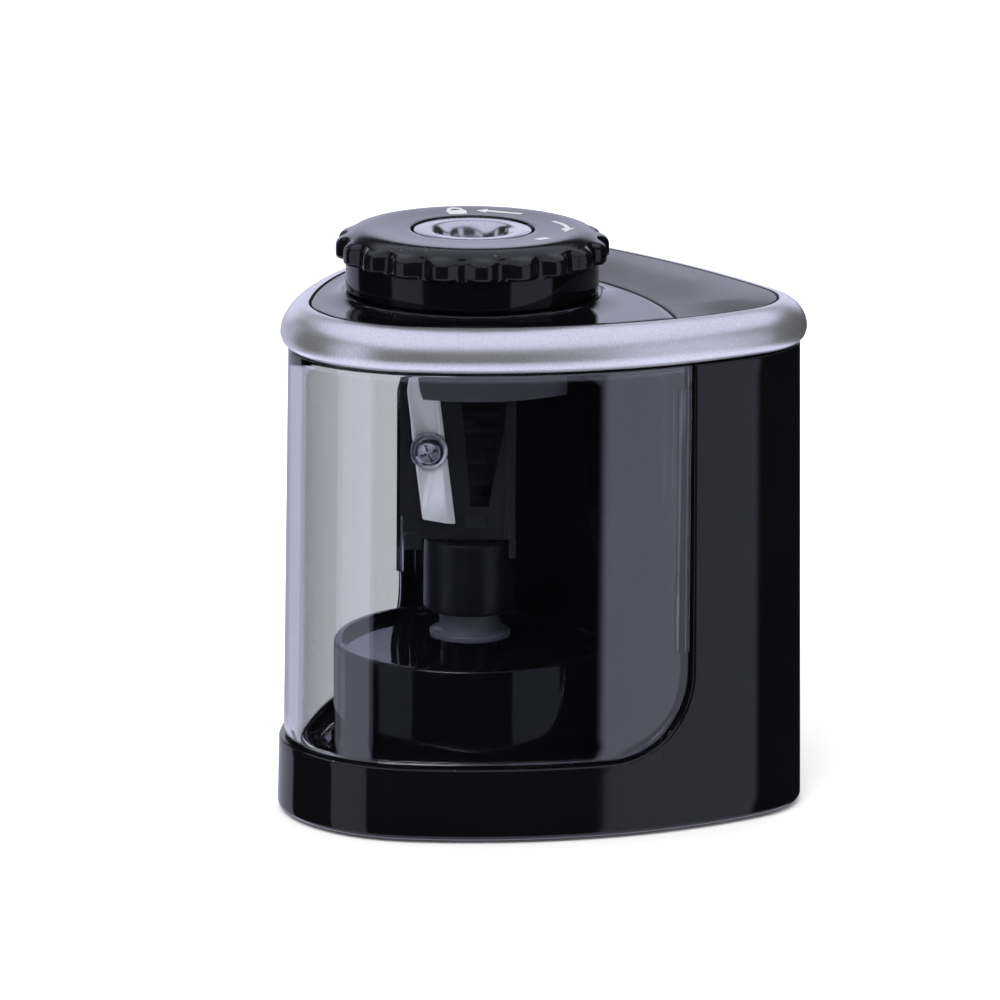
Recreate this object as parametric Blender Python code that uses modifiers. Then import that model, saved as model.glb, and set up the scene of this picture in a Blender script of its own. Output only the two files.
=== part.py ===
"""Battery pencil sharpener: a rounded-triangle housing with a clear shavings bin and a turning knob.

Everything is in metres with +Z up. The origin is the middle of the footprint at the floor.
The front, with the clear bin, faces -Y, and the battery compartment is at +Y.
"""

import math

import bmesh
import bpy

MM = 0.001

# Clearances
GAP = 0.3 * MM  # between pieces that rest on or sit beside each other
RUNNING = 0.08 * MM  # radial, between a shaft and the bore that it turns or slides in
SEATED = 0.05 * MM  # radial, between a shaft and what is fixed on it

# Housing plan: four arcs that run into each other, mirrored left and right
BODY_WIDTH = 61.0 * MM
BODY_DEPTH = 61.0 * MM
FRONT_RADIUS = 17.74 * MM
SIDE_RADIUS = 59.21 * MM
CORNER_RADIUS = 13.07 * MM
REAR_RADIUS = 120.65 * MM

# Heights
FOOT_PROUD = 0.4 * MM
STRIP_TOP = 9.2 * MM
DECK_TOP = 8.2 * MM
DECK_THICKNESS = 1.4 * MM
RING_BOTTOM = 57.7 * MM
RING_TOP = 62.66 * MM
KNOB_TOP = 71.1 * MM

# Housing walls
DRAFT = 0.94 * MM  # how far the walls lean in between the floor and the ring
BODY_WALL = 2.0 * MM  # at the ring
BOTTOM_EDGE = 0.6 * MM
COVER_THICKNESS = 1.4 * MM
PANEL_THICKNESS = 1.6 * MM
RING_WIDTH = 3.54 * MM  # how far in from the plan the ring's inner edge lies
RING_LEDGE = 1.6 * MM  # ledge inside the ring that the top panel sits on

# Cutting spindle: its axis is behind the front of the housing by this much
SPINDLE_SETBACK = 24.95 * MM
CUTTER_YAW = math.radians(49.4)  # where the blade has stopped

# Clear bin
BIN_SETBACK = 2.14 * MM  # its rear edges stop this far in front of the bulkhead
BIN_CORNER_RADIUS = 10.5 * MM
BIN_WALL = 1.7 * MM
BIN_INSET = 0.55 * MM  # the strip stands proud of the bin by this much
BIN_RAIL = 1.4 * MM
BIN_TRAVEL = 45.0 * MM

# Bulkhead between the shavings and the batteries
BULKHEAD_THICKNESS = 1.5 * MM

# Gear train, in the floor
GEAR_MODULE = 0.5 * MM
PRESSURE_ANGLE = math.radians(20.0)
BACKLASH = 0.08 * MM
PINION_TEETH = 10
IDLER_TEETH = 30
IDLER_PINION_TEETH = 10
OUTPUT_TEETH = 40
PRESS_TRAVEL = 1.2 * MM
GEAR_PLATE_THICKNESS = 1.2 * MM
OUTPUT_FACE = 3.0 * MM
IDLER_FACE = 2.5 * MM
AXLE_RADIUS = 1.0 * MM

# Gear housing: the round platform that shows through the bin
DOME_RADIUS = 16.9 * MM
DOME_TOP = 20.2 * MM
DOME_WALL = 1.8 * MM
DOME_RIM = 1.2 * MM
DOME_RECESS = 1.2 * MM
MOTOR_SEAT_TOP = DOME_TOP
MOTOR_SEAT_HALF_WIDTH = 9.5 * MM
MOTOR_SEAT_WALL = 1.0 * MM

# Spindle
SHAFT_RADIUS = 1.5 * MM
BUSH_RADIUS = 3.4 * MM
BUSH_NECK_RADIUS = 3.65 * MM
BUSH_FLANGE_RADIUS = 5.0 * MM
BUSH_FLANGE = 0.7 * MM
SOCKET_RADIUS = 5.6 * MM
SOCKET_BOTTOM = 23.9 * MM
SOCKET_TOP = 32.8 * MM
DRIVE_SQUARE = 4.8 * MM
DRIVE_DEPTH = 4.5 * MM

# Blade holder, measured across, towards the viewer of the blade and up
HOLDER_LEFT = 8.6 * MM
HOLDER_RIGHT = 5.4 * MM
HOLDER_FRONT = 3.6 * MM
HOLDER_BACK = 4.6 * MM
HOLDER_BRIDGE = 3.4 * MM
HOLDER_DISC_RADIUS = 9.4 * MM
HOLDER_DISC_BOTTOM = 54.6 * MM
HOLDER_DISC = 1.6 * MM
JOURNAL_RADIUS = 7.2 * MM
JOURNAL_TOP = 62.2 * MM
PENCIL_RADIUS = 4.2 * MM
POINT_RADIUS = 0.8 * MM
POINT_BOTTOM = 37.5 * MM
CHIP_SLOT_TOP = 5.4 * MM
CHIP_SLOT_BOTTOM = 1.6 * MM
CHIP_SLOT_SHIFT = 1.1 * MM
BLADE_WIDTH = 3.85 * MM
BLADE_LENGTH = 18.4 * MM
BLADE_THICKNESS = 0.6 * MM
BLADE_LEAN = math.radians(7.3)
BLADE_ACROSS = -5.0 * MM
BLADE_MIDDLE = 45.2 * MM
SCREW_DROP = 0.8 * MM  # the screw is below the middle of the blade by this much
SCREW_WASHER_RADIUS = 2.3 * MM
SCREW_HEAD_RADIUS = 1.45 * MM
SCREW_SHANK_RADIUS = 1.0 * MM

# Knob and what hangs from it
SLEEVE_PROUD = 0.36 * MM  # the sleeve is wider than the collar's skirt by this much
SLEEVE_WALL = 1.6 * MM
SLEEVE_BOTTOM = 53.0 * MM
COLLAR_RADIUS = 15.34 * MM
COLLAR_BOTTOM = 63.6 * MM
COLLAR_TOP = 67.9 * MM
COLLAR_BORE = 11.2 * MM
COLLAR_SPIGOT_BOTTOM = 58.6 * MM
COLLAR_PLATE = 1.4 * MM
BEARING_BOTTOM = 59.0 * MM
BEARING_LENGTH = 2.8 * MM
BOSS_FLARE = 2.26 * MM  # and the boss's foot by this much
BOSS_HEIGHT = 0.7 * MM
KNOB_RADIUS = 16.7 * MM
KNOB_LOBES = 20
LOBE_DEPTH = 0.95 * MM
LOBE_TOP = 70.1 * MM
CROWN_RADIUS = 15.0 * MM
CROWN_FLAT = 13.2 * MM
GUIDE_RADIUS = 7.45 * MM
GUIDE_SUNK = 0.25 * MM
GUIDE_FLANGE = 1.0 * MM
GUIDE_MOUTH = 5.0 * MM
GUIDE_TUBE = 5.2 * MM
LIFT_TRAVEL = 46.0 * MM

# Seam between the top panel and the battery cover: an arc that is furthest back in the middle
SEAM_RADIUS = 48.0 * MM
SEAM_GAP = 0.35 * MM
COVER_CROWN = 0.7 * MM

# Batteries and motor, which are bought in
CELL_RADIUS = 7.25 * MM
CELL_LENGTH = 49.5 * MM
CELL_BOTTOM = 6.0 * MM
NUB_RADIUS = 2.7 * MM
NUB_LENGTH = 1.0 * MM
CELL_FROM_SIDE = 11.9 * MM
CRADLE_BOTTOM = 22.0 * MM
CRADLE_TOP = 46.0 * MM
CRADLE_CLEARANCE = 0.3 * MM
LINK_ROOM = 2.8 * MM  # from the knob's sleeve to the link plate
MOTOR_RADIUS = 10.0 * MM
MOTOR_HALF_DEPTH = 7.5 * MM
MOTOR_ROOM = 0.5 * MM  # in front of the motor, to the bulkhead
MOTOR_LENGTH = 22.5 * MM
MOTOR_CAP = 3.2 * MM
MOTOR_BOSS_RADIUS = 3.0 * MM
MOTOR_BOSS = 1.4 * MM
LEAD_RADIUS = 0.55 * MM
LEAD_ACROSS = 4.4 * MM
TAB_ACROSS = 5.0 * MM
TAB_BACK = 3.4 * MM
TAB_HEIGHT = 3.0 * MM

# Switch under the spindle
LEAF_THICKNESS = 0.25 * MM
LEAF_ROOM = 2.9 * MM  # from the end of the leaf to the edge of the round platform
SWITCH_BLOCK = 2.1 * MM
LEAF_WIDTH = 3.0 * MM

# Feet and fasteners
FRONT_FEET = (0.19, 0.27)  # shares of the width and depth, out from the middle
REAR_FEET = (0.328, 0.328)
FOOT_RADIUS = 3.0 * MM
FOOT_THICKNESS = 0.9 * MM
BASE_SCREW_HEAD = 2.1 * MM
BASE_SCREW_SHANK = 1.0 * MM
SCREW_BOSS_RADIUS = 2.2 * MM
FRONT_SCREW_ROOM = 2.7 * MM  # from the round platform to the middle of the front screw
SIDE_SCREW_ROOM = 3.7 * MM
SIDE_SCREW_BACK = 3.05 * MM

# Sizes that follow from those above
SPINDLE_Y = -BODY_DEPTH / 2 + SPINDLE_SETBACK
BODY_BOTTOM = FOOT_PROUD
BODY_TOP = RING_BOTTOM - GAP
INNER_OFFSET = -(BODY_WALL + DRAFT)
COVER_TOP = BODY_BOTTOM + COVER_THICKNESS
DECK_BOTTOM = DECK_TOP - DECK_THICKNESS
OUTPUT_DISTANCE = GEAR_MODULE * (OUTPUT_TEETH + IDLER_PINION_TEETH) / 2
IDLER_DISTANCE = GEAR_MODULE * (IDLER_TEETH + PINION_TEETH) / 2
IDLER_Y = SPINDLE_Y + OUTPUT_DISTANCE
MOTOR_Y = IDLER_Y + IDLER_DISTANCE
BULKHEAD_BACK = MOTOR_Y - MOTOR_HALF_DEPTH - MOTOR_ROOM
BULKHEAD_FRONT = BULKHEAD_BACK - BULKHEAD_THICKNESS
BIN_REAR = BULKHEAD_FRONT - BIN_SETBACK
BOSS_RADIUS = COLLAR_RADIUS + BOSS_FLARE
SEAM_BACK = SPINDLE_Y + BOSS_RADIUS
CELL_BACK = MOTOR_Y
CELL_ACROSS = BODY_WIDTH / 2 - CELL_FROM_SIDE
CONTACT_TOP = COVER_TOP + 2 * GAP
LEAF_TOP = CONTACT_TOP + LEAF_THICKNESS + PRESS_TRAVEL * 1.2 + LEAF_THICKNESS
LEAF_LENGTH = DOME_RADIUS - LEAF_ROOM
SHAFT_BOTTOM = LEAF_TOP + GAP
GEAR_PLATE_BOTTOM = SHAFT_BOTTOM + GAP
GEAR_PLATE_TOP = GEAR_PLATE_BOTTOM + GEAR_PLATE_THICKNESS
OUTPUT_BOTTOM = GEAR_PLATE_TOP + PRESS_TRAVEL + 2 * GAP
OUTPUT_TOP = OUTPUT_BOTTOM + OUTPUT_FACE
IDLER_BOTTOM = GEAR_PLATE_TOP + GAP
IDLER_WHEEL_BOTTOM = OUTPUT_TOP + 4 * GAP
IDLER_TOP = IDLER_WHEEL_BOTTOM + IDLER_FACE
HOUSING_BOTTOM = GEAR_PLATE_TOP + GAP
SEAT_CEILING = MOTOR_SEAT_TOP - DOME_WALL
DOME_FLOOR = DOME_TOP - DOME_RECESS
BUSH_BOTTOM = DOME_FLOOR - DOME_WALL - PRESS_TRAVEL
BUSH_FLANGE_BOTTOM = DOME_FLOOR + PRESS_TRAVEL + GAP
BUSH_TOP = SOCKET_BOTTOM - GAP
MOTOR_BOTTOM = MOTOR_SEAT_TOP + GAP
MOTOR_TOP = MOTOR_BOTTOM + MOTOR_LENGTH
MOTOR_CAP_BOTTOM = MOTOR_TOP + GAP
MOTOR_CAP_TOP = MOTOR_CAP_BOTTOM + MOTOR_CAP
HOLDER_BOTTOM = SOCKET_TOP + GAP
HOLDER_DISC_TOP = HOLDER_DISC_BOTTOM + HOLDER_DISC
SCREW_ACROSS = BLADE_ACROSS + SCREW_DROP * math.sin(BLADE_LEAN)
SCREW_HEIGHT = BLADE_MIDDLE - SCREW_DROP * math.cos(BLADE_LEAN)
SLEEVE_RADIUS = COLLAR_RADIUS + SLEEVE_PROUD
SLEEVE_BORE = SLEEVE_RADIUS - SLEEVE_WALL
COLLAR_SPIGOT = SLEEVE_BORE - GAP
PANEL_TOP = RING_TOP
PANEL_BOTTOM = PANEL_TOP - PANEL_THICKNESS
PANEL_OFFSET = -(RING_WIDTH + GAP)
KNOB_BOTTOM = COLLAR_TOP + GAP
CELL_TOP = CELL_BOTTOM + CELL_LENGTH
LINK_BOTTOM = CELL_TOP + NUB_LENGTH + 2 * GAP
LINK_THICKNESS = 0.4 * MM
LINK_FRONT = SPINDLE_Y + SLEEVE_RADIUS + LINK_ROOM
LEAD_BACK = MOTOR_Y + MOTOR_HALF_DEPTH + 2.0 * MM
SIDES = (("left", -1), ("right", 1))
SIDE_SCREW_X = DOME_RADIUS + SIDE_SCREW_ROOM
SIDE_SCREW_Y = SPINDLE_Y + SIDE_SCREW_BACK
FRONT_SCREW = (0.0, SPINDLE_Y - DOME_RADIUS - FRONT_SCREW_ROOM)
BASE_SCREW_PLACES = [FRONT_SCREW, (SIDE_SCREW_X, SIDE_SCREW_Y), (-SIDE_SCREW_X, SIDE_SCREW_Y)]
FRONT_FOOT_X, FRONT_FOOT_Y = FRONT_FEET[0] * BODY_WIDTH, -FRONT_FEET[1] * BODY_DEPTH
REAR_FOOT_X, REAR_FOOT_Y = REAR_FEET[0] * BODY_WIDTH, REAR_FEET[1] * BODY_DEPTH
FRONT_FEET_PLACES = [(FRONT_FOOT_X, FRONT_FOOT_Y), (-FRONT_FOOT_X, FRONT_FOOT_Y)]
FOOT_PLACES = FRONT_FEET_PLACES + [(REAR_FOOT_X, REAR_FOOT_Y), (-REAR_FOOT_X, REAR_FOOT_Y)]


# Scene and finishes


def clear_scene():
    """Remove every object that is in the file."""
    for thing in list(bpy.data.objects):
        bpy.data.objects.remove(thing)


def new_collection(name):
    """Add a collection to the scene."""
    collection = bpy.data.collections.new(name)
    bpy.context.scene.collection.children.link(collection)
    return collection


def finish(name, colour, roughness, metallic=0.0, alpha=1.0):
    """Make a plain Principled material."""
    material = bpy.data.materials.new(name)
    material.use_nodes = True
    shader = material.node_tree.nodes["Principled BSDF"]
    shader.inputs["Base Color"].default_value = (*colour, 1.0)
    shader.inputs["Roughness"].default_value = roughness
    shader.inputs["Metallic"].default_value = metallic
    shader.inputs["Alpha"].default_value = alpha
    material.diffuse_color = (*colour, alpha)
    return material


clear_scene()
PARTS = new_collection("pencil_sharpener")
CUTTERS = new_collection("cutters")

GLOSS_BLACK = (0.012, 0.012, 0.014)
MATT_BLACK = (0.03, 0.03, 0.033)
STEEL = (0.62, 0.62, 0.64)
SILVER_PAINT = (0.60, 0.61, 0.64)
BRASS = (0.78, 0.60, 0.30)
WHITE = (0.80, 0.82, 0.84)


# Shapes


def place(name, mesh, finish_of=None, location=(0.0, 0.0, 0.0)):
    """Link a mesh as a part or, with no finish, as a hidden cutter."""
    thing = bpy.data.objects.new(name, mesh)
    thing.location = location
    if finish_of is None:
        CUTTERS.objects.link(thing)
        thing.hide_render = True
        thing.display_type = "WIRE"
    else:
        PARTS.objects.link(thing)
        colour, roughness, metallic, alpha = finish_of
        mesh.materials.append(finish(name, colour, roughness, metallic, alpha))
    mesh.shade_smooth()
    mesh.set_sharp_from_angle(angle=math.radians(30.0))
    return thing


def look(colour, roughness, metallic=0.0, alpha=1.0):
    """Colour, roughness, metallic and alpha, in the order that place takes them."""
    return (colour, roughness, metallic, alpha)


def to_mesh(name, bm):
    """Turn a bmesh into a mesh with its faces pointing out."""
    bmesh.ops.recalc_face_normals(bm, faces=bm.faces)
    mesh = bpy.data.meshes.new(name)
    bm.to_mesh(mesh)
    bm.free()
    return mesh


def block(name, low, high, finish_of=None):
    """A box between two corners."""
    bm = bmesh.new()
    bmesh.ops.create_cube(bm, size=1.0)
    size = [high[i] - low[i] for i in range(3)]
    middle = [(high[i] + low[i]) / 2 for i in range(3)]
    bmesh.ops.scale(bm, vec=size, verts=bm.verts)
    return place(name, to_mesh(name, bm), finish_of, middle)


def rod(name, radius, low, high, at=(0.0, 0.0), finish_of=None, segments=32, top_radius=None):
    """An upright cylinder, or a cone where the top has its own radius."""
    bm = bmesh.new()
    top = radius if top_radius is None else top_radius
    bmesh.ops.create_cone(bm, cap_ends=True, segments=segments, radius1=radius, radius2=top, depth=high - low)
    return place(name, to_mesh(name, bm), finish_of, (at[0], at[1], (low + high) / 2))


def turned(name, profile, at=(0.0, 0.0), finish_of=None, segments=40, closed=True):
    """A profile of (radius, height) turned about an upright axis; it runs down its outer side."""
    mesh = bpy.data.meshes.new(name)
    count = len(profile)
    edges = [(i, (i + 1) % count) for i in range(count if closed else count - 1)]
    mesh.from_pydata([(r, 0.0, z) for r, z in profile], edges, [])
    thing = place(name, mesh, finish_of, (at[0], at[1], 0.0))
    screw = thing.modifiers.new("Turn", "SCREW")
    screw.steps = segments
    screw.render_steps = segments
    screw.use_merge_vertices = True
    screw.merge_threshold = 0.00001
    screw.use_smooth_shade = True
    return thing


def ring(name, outer, inner, low, high, at=(0.0, 0.0), finish_of=None, segments=40):
    """A tube standing on its end."""
    return turned(name, [(outer, high), (outer, low), (inner, low), (inner, high)], at, finish_of, segments)


def plate(name, outlines, low, high, finish_of=None, at=(0.0, 0.0)):
    """A flat shape between two heights; an outline inside another is a hole."""
    curve = bpy.data.curves.new(name, "CURVE")
    curve.dimensions = "2D"
    curve.fill_mode = "BOTH"
    curve.extrude = (high - low) / 2
    for outline in outlines:
        spline = curve.splines.new("POLY")
        spline.points.add(len(outline) - 1)
        for point, (x, y) in zip(spline.points, outline):
            point.co = (x, y, 0.0, 1.0)
        spline.use_cyclic_u = True
    guide = bpy.data.objects.new(name + "_outline", curve)
    CUTTERS.objects.link(guide)
    bpy.context.view_layer.update()
    evaluated = guide.evaluated_get(bpy.context.evaluated_depsgraph_get())
    mesh = bpy.data.meshes.new_from_object(evaluated)
    bpy.data.objects.remove(guide)
    bm = bmesh.new()
    bm.from_mesh(mesh)
    bmesh.ops.remove_doubles(bm, verts=bm.verts, dist=0.000001)
    bpy.data.meshes.remove(mesh)
    return place(name, to_mesh(name, bm), finish_of, (at[0], at[1], (low + high) / 2))


def stacked(name, rings, finish_of=None, at=(0.0, 0.0), hole=None):
    """A solid lofted through closed rings of equally many (x, y, z) points; hole is a second stack inside."""
    bm = bmesh.new()
    stacks = [rings] if hole is None else [rings, hole]
    loops = [[[bm.verts.new(point) for point in level] for level in stack] for stack in stacks]
    count = len(rings[0])
    for stack in loops:
        for below, above in zip(stack, stack[1:]):
            for i in range(count):
                j = (i + 1) % count
                bm.faces.new((below[i], below[j], above[j], above[i]))
    for end in (0, -1):
        if hole is None:
            bm.faces.new(loops[0][end])
            continue
        for i in range(count):
            j = (i + 1) % count
            bm.faces.new((loops[0][end][i], loops[0][end][j], loops[1][end][j], loops[1][end][i]))
    return place(name, to_mesh(name, bm), finish_of, (at[0], at[1], 0.0))


def tube(name, points, radius, finish_of=None):
    """A wire through the points."""
    curve = bpy.data.curves.new(name, "CURVE")
    curve.dimensions = "3D"
    curve.bevel_depth = radius
    curve.bevel_resolution = 2
    curve.use_fill_caps = True
    spline = curve.splines.new("POLY")
    spline.points.add(len(points) - 1)
    for point, place_at in zip(spline.points, points):
        point.co = (*place_at, 1.0)
    guide = bpy.data.objects.new(name + "_path", curve)
    CUTTERS.objects.link(guide)
    bpy.context.view_layer.update()
    evaluated = guide.evaluated_get(bpy.context.evaluated_depsgraph_get())
    mesh = bpy.data.meshes.new_from_object(evaluated)
    bpy.data.objects.remove(guide)
    bm = bmesh.new()
    bm.from_mesh(mesh)
    bmesh.ops.remove_doubles(bm, verts=bm.verts, dist=0.000001)
    bpy.data.meshes.remove(mesh)
    return place(name, to_mesh(name, bm), finish_of)


def combine(thing, other, operation):
    """Add a Boolean modifier with the exact solver, and keep the other object as a hidden helper."""
    modifier = thing.modifiers.new(operation.title(), "BOOLEAN")
    modifier.operation = operation
    modifier.solver = "EXACT"
    modifier.object = other
    return thing


def cut(thing, *cutters):
    """Take each cutter away."""
    for cutter in cutters:
        combine(thing, cutter, "DIFFERENCE")
    return thing


def join(thing, *others):
    """Add each other solid."""
    for other in others:
        combine(thing, other, "UNION")
    return thing


def keep(thing, region):
    """Keep only what lies in the region."""
    return combine(thing, region, "INTERSECT")


def turn_about_spindle(things):
    """Parent pieces built across the X axis to an empty on the spindle, turned to where the blade stopped."""
    pivot = bpy.data.objects.new("cutter_pivot", None)
    pivot.location = (0.0, SPINDLE_Y, 0.0)
    pivot.rotation_euler = (0.0, 0.0, CUTTER_YAW)
    PARTS.objects.link(pivot)
    for thing in things:
        thing.parent = pivot


# The housing's plan


def arc_centres():
    """Centres of the front, right side, right rear corner and rear arcs, each tangent to the next."""
    front = (0.0, -BODY_DEPTH / 2 + FRONT_RADIUS)
    rear = (0.0, BODY_DEPTH / 2 - REAR_RADIUS)
    side_x = BODY_WIDTH / 2 - SIDE_RADIUS
    side = (side_x, front[1] + math.sqrt((SIDE_RADIUS - FRONT_RADIUS) ** 2 - side_x**2))
    from_side = SIDE_RADIUS - CORNER_RADIUS
    from_rear = REAR_RADIUS - CORNER_RADIUS
    apart = math.dist(side, rear)
    along = (from_side**2 - from_rear**2 + apart**2) / (2 * apart)
    off = math.sqrt(from_side**2 - along**2)
    ux, uy = (rear[0] - side[0]) / apart, (rear[1] - side[1]) / apart
    corner = (side[0] + along * ux - off * uy, side[1] + along * uy + off * ux)
    return front, side, corner, rear


def bearing_between(start, end):
    """Angle of the line from one point to another."""
    return math.atan2(end[1] - start[1], end[0] - start[0])


def plan(offset):
    """The housing's outline, moved outwards by offset: anticlockwise from the middle of the front."""
    front, side, corner, rear = arc_centres()
    front_end = bearing_between(side, front)
    side_end = bearing_between(side, corner)
    corner_end = bearing_between(rear, corner)
    spans = [
        (front, FRONT_RADIUS, -math.pi / 2, front_end, 7),
        (side, SIDE_RADIUS, front_end, side_end, 9),
        (corner, CORNER_RADIUS, side_end, corner_end, 9),
        (rear, REAR_RADIUS, corner_end, math.pi / 2, 3),
    ]
    right = []
    for centre, radius, start, end, steps in spans:
        for step in range(steps):
            angle = start + (end - start) * step / steps
            reach = radius + offset
            right.append((centre[0] + reach * math.cos(angle), centre[1] + reach * math.sin(angle)))
    back = (0.0, rear[1] + REAR_RADIUS + offset)
    left = [(-x, y) for x, y in reversed(right[1:])]
    return right + [back] + left


def half_width(offset, y):
    """Half the housing's width at a place along its side."""
    side = arc_centres()[1]
    return side[0] + math.sqrt((SIDE_RADIUS + offset) ** 2 - (y - side[1]) ** 2)


def clipped(outline, lowest, highest):
    """The part of a convex outline between two values of y."""
    for bound, sign in ((lowest, 1.0), (highest, -1.0)):
        kept = []
        for (ax, ay), (bx, by) in zip(outline, outline[1:] + outline[:1]):
            a_in = sign * (ay - bound) >= 0
            b_in = sign * (by - bound) >= 0
            if a_in:
                kept.append((ax, ay))
            if a_in != b_in:
                share = (bound - ay) / (by - ay)
                kept.append((ax + share * (bx - ax), bound))
        outline = kept
    return outline


def level(offset, height):
    """One ring of a loft: the plan at an offset and a height."""
    return [(x, y, height) for x, y in plan(offset)]


def circle(radius, centre=(0.0, 0.0), count=40):
    """Points round a circle."""
    steps = [2 * math.pi * i / count for i in range(count)]
    return [(centre[0] + radius * math.cos(a), centre[1] + radius * math.sin(a)) for a in steps]


# Housing


def bin_region(name, shrink):
    """A block that the bin fills: everything in front of its rear edge and above the strip."""
    rear = BIN_REAR - shrink
    low = STRIP_TOP + shrink
    radius = BIN_CORNER_RADIUS - shrink
    corner = []
    for step in range(9):
        angle = -math.pi / 2 + (math.pi / 2) * step / 8
        corner.append((rear - radius + radius * math.cos(angle), low + radius + radius * math.sin(angle)))
    ahead = -BODY_DEPTH
    top = KNOB_TOP
    outline = [(ahead, low)] + corner + [(rear, top), (ahead, top)]
    region = plate(name, [outline], -BODY_WIDTH, BODY_WIDTH)
    region.location = (0.0, 0.0, 0.0)
    region.rotation_euler = (math.pi / 2, 0.0, math.pi / 2)
    return region


def main_body():
    """The black shell: strip, rear walls, deck and bulkhead in one moulding."""
    rings = [
        level(-BOTTOM_EDGE, BODY_BOTTOM),
        level(0.0, BODY_BOTTOM + BOTTOM_EDGE),
        level(-DRAFT, BODY_TOP),
    ]
    body = stacked("main_body", rings, look(GLOSS_BLACK, 0.08))
    inside = plan(INNER_OFFSET)
    chamber = plate("chamber_hollow", [clipped(inside, -BODY_DEPTH, BULKHEAD_FRONT)], DECK_TOP, KNOB_TOP)
    battery_room = plate("rear_hollow", [clipped(inside, BULKHEAD_BACK, BODY_DEPTH)], -STRIP_TOP, KNOB_TOP)
    under_deck = plate("lower_hollow", [inside], -STRIP_TOP, DECK_BOTTOM)
    cut(body, chamber, battery_room, under_deck, bin_region("bin_opening", 0.0))
    dome_hole = rod("dome_hole", DOME_RADIUS + GAP, 0.0, DOME_TOP + GAP, (0.0, SPINDLE_Y), segments=40)
    seat_half = MOTOR_SEAT_HALF_WIDTH + GAP
    seat_hole = block("seat_hole", (-seat_half, SPINDLE_Y, 0.0), (seat_half, MOTOR_Y, MOTOR_SEAT_TOP + GAP))
    sleeve_room = SLEEVE_RADIUS + GAP
    sleeve_hole = rod("sleeve_hole", sleeve_room, SLEEVE_BOTTOM - GAP, KNOB_TOP, (0.0, SPINDLE_Y), segments=40)
    cut(body, dome_hole, seat_hole, sleeve_hole)
    for number, spot in enumerate(BASE_SCREW_PLACES):
        boss = rod(f"screw_boss_{number}", SCREW_BOSS_RADIUS, COVER_TOP + GAP, DECK_TOP - GAP, spot, segments=16)
        join(body, boss)
    for number, spot in enumerate(BASE_SCREW_PLACES):
        pilot = rod(f"screw_pilot_{number}", BASE_SCREW_SHANK + SEATED, 0.0, DECK_BOTTOM, spot, segments=12)
        cut(body, pilot)
    return body


def base_cover():
    """The plate that closes the floor, with sunk screw heads and pockets for the feet."""
    cover = plate("base_cover", [plan(INNER_OFFSET - GAP)], BODY_BOTTOM, COVER_TOP, look(MATT_BLACK, 0.5))
    sink = BODY_BOTTOM + COVER_THICKNESS / 2
    for number, spot in enumerate(BASE_SCREW_PLACES):
        hole = rod(f"cover_hole_{number}", BASE_SCREW_SHANK + GAP, 0.0, COVER_TOP + GAP, spot, segments=12)
        well = rod(f"cover_well_{number}", BASE_SCREW_HEAD + GAP, 0.0, sink, spot, segments=12)
        cut(cover, hole, well)
    for number, spot in enumerate(FOOT_PLACES):
        pocket = rod(f"foot_pocket_{number}", FOOT_RADIUS + GAP, 0.0, FOOT_THICKNESS + GAP, spot, segments=16)
        cut(cover, pocket)
    return cover


def base_screws():
    """Three screws with pan heads, from below."""
    head_low = BODY_BOTTOM + GAP / 2
    head_high = BODY_BOTTOM + COVER_THICKNESS / 2 - GAP
    for number, spot in enumerate(BASE_SCREW_PLACES, 1):
        profile = [
            (0.0, DECK_BOTTOM - GAP),
            (BASE_SCREW_SHANK, DECK_BOTTOM - GAP - BASE_SCREW_SHANK / 2),
            (BASE_SCREW_SHANK, head_high),
            (BASE_SCREW_HEAD, head_high),
            (BASE_SCREW_HEAD, head_low),
            (0.0, head_low),
        ]
        turned(f"base_screw_{number}", profile, spot, look(STEEL, 0.35, 1.0), 16, closed=False)


def rubber_feet():
    """Four pads pressed into the cover."""
    for number, spot in enumerate(FOOT_PLACES, 1):
        rod(f"rubber_foot_{number}", FOOT_RADIUS, 0.0, FOOT_THICKNESS, spot, look(MATT_BLACK, 0.9), 16)


def top_ring():
    """The silver painted ring, swept round the plan: a rounded outside and a ledge inside."""
    bulge = 0.12 * MM
    height = RING_TOP - RING_BOTTOM
    shoulder_centre = RING_BOTTOM + 0.28 * height
    outside = [(-DRAFT, RING_BOTTOM), (-bulge * 3, RING_BOTTOM + 0.10 * height)]
    for step in range(5):
        angle = (math.pi / 2) * step / 4
        reach_in = (RING_WIDTH - bulge) * (1 - math.cos(angle))
        outside.append((-bulge - reach_in, shoulder_centre + (RING_TOP - shoulder_centre) * math.sin(angle)))
    ledge = RING_WIDTH + RING_LEDGE
    ledge_top = PANEL_BOTTOM - GAP
    inside = [(-RING_WIDTH, ledge_top), (-ledge, ledge_top), (-ledge, RING_BOTTOM + height / 3)]
    inside.append((-(RING_WIDTH - BODY_WALL / 4), RING_BOTTOM))
    section = outside + inside
    rings = [level(offset, height_at) for offset, height_at in section]
    bm = bmesh.new()
    loops = [[bm.verts.new(point) for point in one] for one in rings]
    count = len(rings[0])
    for first, second in zip(loops, loops[1:] + loops[:1]):
        for i in range(count):
            j = (i + 1) % count
            bm.faces.new((first[i], first[j], second[j], second[i]))
    return place("top_ring", to_mesh("top_ring", bm), look(SILVER_PAINT, 0.35, 0.8))


def seam_disc(name, margin, low, high):
    """A drum whose rear side is the seam between the top panel and the battery cover."""
    centre = (0.0, SEAM_BACK - SEAM_RADIUS)
    return rod(name, SEAM_RADIUS + margin, low, high, centre, segments=120)


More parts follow.
